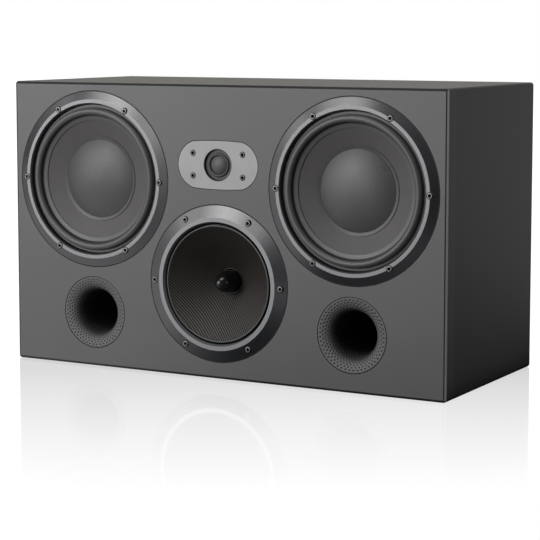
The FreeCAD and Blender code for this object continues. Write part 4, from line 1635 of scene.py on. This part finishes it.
@dataclass(frozen=True)
class Surround:
    """The open white round the object: full white to the eye and a soft grey as light."""

    sight: Span = (-0.488, 0.873)
    behind_span: Span = (0.2, 0.9)
    ambient: float = 0.12

    def seen(self, tree: Tree, across: Value, along: Value) -> Value:
        """Pick the rays that see the white.

        Args:
            tree: The tree that asks.
            across: How far the place or ray lies along X, as a share of a unit.
            along: How far it lies along Y, as a share of a unit.

        Returns:
            One for the camera's rays, and for mirrored rays that run on behind the cabinet, else zero.
        """
        behind = (across * self.sight[0] + along * self.sight[1]).ease(*self.behind_span)
        clear = tree.ray("Is Camera Ray") + tree.ray("Is Transmission Ray")
        return clear + tree.ray("Is Glossy Ray") * behind

    def paint(self) -> bpy.types.World:
        """Build the world.

        Returns:
            The new world.
        """
        tree = Tree(bpy.data.worlds.new("surround"))
        x, y, _ = tree.parts(tree.add("ShaderNodeTexCoord").outputs["Generated"])
        soft = tree.add("ShaderNodeBackground", None, {"Color": WHITE, "Strength": self.ambient})
        white = tree.add("ShaderNodeBackground", None, {"Color": WHITE, "Strength": 1.0})
        return tree.close(tree.blend(self.seen(tree, x, y), soft, white))


@dataclass(frozen=True)
class FloorFinish:
    """A white floor that keeps a soft shadow and a faint reflection near the cabinet."""

    name: str
    surround: Surround
    matt: Colour = (0.12, 0.12, 0.12)
    glare: float = 1.16
    fade_start: float = 50.0
    fade_end: float = 790.0
    mirror: float = 0.45
    mirror_roughness: float = 0.06
    mirror_span: Span = (600.0, 1000.0)
    left_glow: float = 0.78
    left_far: Span = (-3000.0, -500.0)
    left_near: Span = (-260.0, 40.0)
    left_back: Span = (-100.0, 100.0)
    ahead_glow: float = 0.55
    ahead_right: Span = (200.0, 500.0)
    ahead_back: Span = (-700.0, -200.0)
    beside_glow: float = 0.22
    beside_left: Span = (340.0, 400.0)
    beside_front: Span = (-150.0, -100.0)

    def sheen(self, tree: Tree, x: Value, y: Value) -> Value:
        """Light the floor for mirrored rays, strongest on the left, weaker ahead and beside the cabinet.

        Args:
            tree: The material's tree.
            x: The point's place across, in millimetres.
            y: The point's place along the depth, in millimetres.

        Returns:
            The glow for mirrored rays, and zero for others.
        """
        left = (1 - x.ease(*self.left_near)) * x.ease(*self.left_far) * (1 - y.ease(*self.left_back))
        ahead = (1 - x.ease(*self.ahead_right)) * (1 - y.ease(*self.ahead_back))
        beside = x.ease(*self.beside_left) * y.ease(*self.beside_front)
        weak = ahead * self.ahead_glow + beside * self.beside_glow
        return tree.ray("Is Glossy Ray") * (left * self.left_glow).most(weak)

    def paint(self) -> bpy.types.Material:
        """Build the material: matt or glowing white by the kind of ray, under a mirror that fades.

        The nearness falls evenly from one to zero along the line of sight towards the camera.

        Returns:
            The new material.
        """
        tree = Tree.of_material(self.name)
        x, y, _ = tree.parts(tree.spot())
        reach = (x * x + y * y) ** 0.5
        sight = self.surround.sight
        nearness = (x * sight[0] + y * sight[1] + self.fade_end) / (self.fade_end - self.fade_start)
        near = nearness.most(0.0).least(1.0)
        seen = self.surround.seen(tree, x / reach, y / reach) + self.sheen(tree, x, y)
        lit = (1 - (1 - near) * (1 - 1 / self.glare)) * seen
        matt = tree.add("ShaderNodeBsdfDiffuse", None, {"Color": self.matt})
        white = tree.add("ShaderNodeEmission", None, {"Color": WHITE, "Strength": self.glare})
        polished = {"Color": WHITE, "Roughness": self.mirror_roughness}
        mirror = tree.add("ShaderNodeBsdfGlossy", None, polished)
        polish = near * self.mirror * (1 - reach.ease(*self.mirror_span)) * tree.ray("Is Camera Ray")
        return tree.close(tree.blend(polish, tree.blend(lit, matt, white), mirror))


@dataclass(frozen=True)
class Studio:
    """Pale floor, white surround, soft lights and the camera."""

    place: Place = (1266.9, -2264.7, 480.3)
    tilt: float = 5.917
    swing: float = 29.241
    focal_pixels: float = 1826.2
    picture_pixels: float = 540.0
    sensor: float = 36.0
    shift: float = -0.10
    clip_end: float = 100.0
    floor_half: float = 12.0
    surround: Surround = Surround()
    lamps: tuple[Lamp, ...] = (
        Lamp("front_panel", (-0.25, -2.1, 0.6), 0.6, 1.2, 8.0),
        Lamp("key_panel", (-0.85, -2.1, 1.2), 0.6, 1.2, 14.0),
        Lamp("left_panel", (-1.45, -2.1, 0.9), 0.6, 1.8, 16.5),
        Lamp("wall_panel", (-1.9, -1.6, 0.675), 0.6, 1.3, 7.5),
        Lamp("wall_fill", (-1.9, -1.0, 0.675), 0.6, 1.3, 1.3),
        Lamp("top_light", (0.0, -0.75, 1.5), 0.8, 0.5, 4.5, aim=(0.0, -0.15, 0.2)),
        Lamp("side_light", (1.9, -0.2, 0.3), 0.8, 0.8, 3.8, aim=(0.3, 0.0, 0.15)),
    )

    def set_camera(self) -> None:
        """Stand the camera where the picture was taken from."""
        data = bpy.data.cameras.new("portrait")
        data.sensor_width = self.sensor
        data.lens = self.focal_pixels / self.picture_pixels * self.sensor
        data.shift_y = self.shift
        data.clip_end = self.clip_end
        camera = bpy.data.objects.new("portrait", data)
        camera.location = [size * MM for size in self.place]
        camera.rotation_euler = (math.radians(90.0 - self.tilt), 0.0, math.radians(self.swing))
        bpy.context.scene.collection.objects.link(camera)
        bpy.context.scene.camera = camera

    def lay_floor(self) -> None:
        """Lay one wide square under the object."""
        half = self.floor_half
        corners = [(-half, -half, 0), (half, -half, 0), (half, half, 0), (-half, half, 0)]
        mesh = bpy.data.meshes.new("floor")
        mesh.from_pydata(corners, [], [(0, 1, 2, 3)])
        mesh.materials.append(FloorFinish("floor_white", self.surround).paint())
        floor = bpy.data.objects.new("floor", mesh)
        bpy.context.scene.collection.objects.link(floor)

    def light(self) -> None:
        """Hang the lamps and set the surround."""
        for lamp in self.lamps:
            lamp.hang()
        bpy.context.scene.world = self.surround.paint()
        bpy.context.scene.view_settings.view_transform = "Standard"

    def build(self) -> None:
        """Set up the camera, the floor and the lights."""
        self.set_camera()
        self.lay_floor()
        self.light()


def main() -> None:
    """Load the frame, dress every sub-assembly and set the studio."""
    logging.basicConfig(level=logging.INFO, format="%(name)s: %(message)s")
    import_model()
    palette = Palette()
    assemblies = [
        Cabinet(palette),
        *(Woofer(side, palette) for side in Side),
        Midrange(palette),
        Tweeter(palette),
        *(Port(side) for side in Side),
        Insides(palette),
        Studio(),
    ]
    for assembly in assemblies:
        assembly.build()
        LOG.info("%s is built", type(assembly).__name__)


if __name__ == "__main__":
    main()
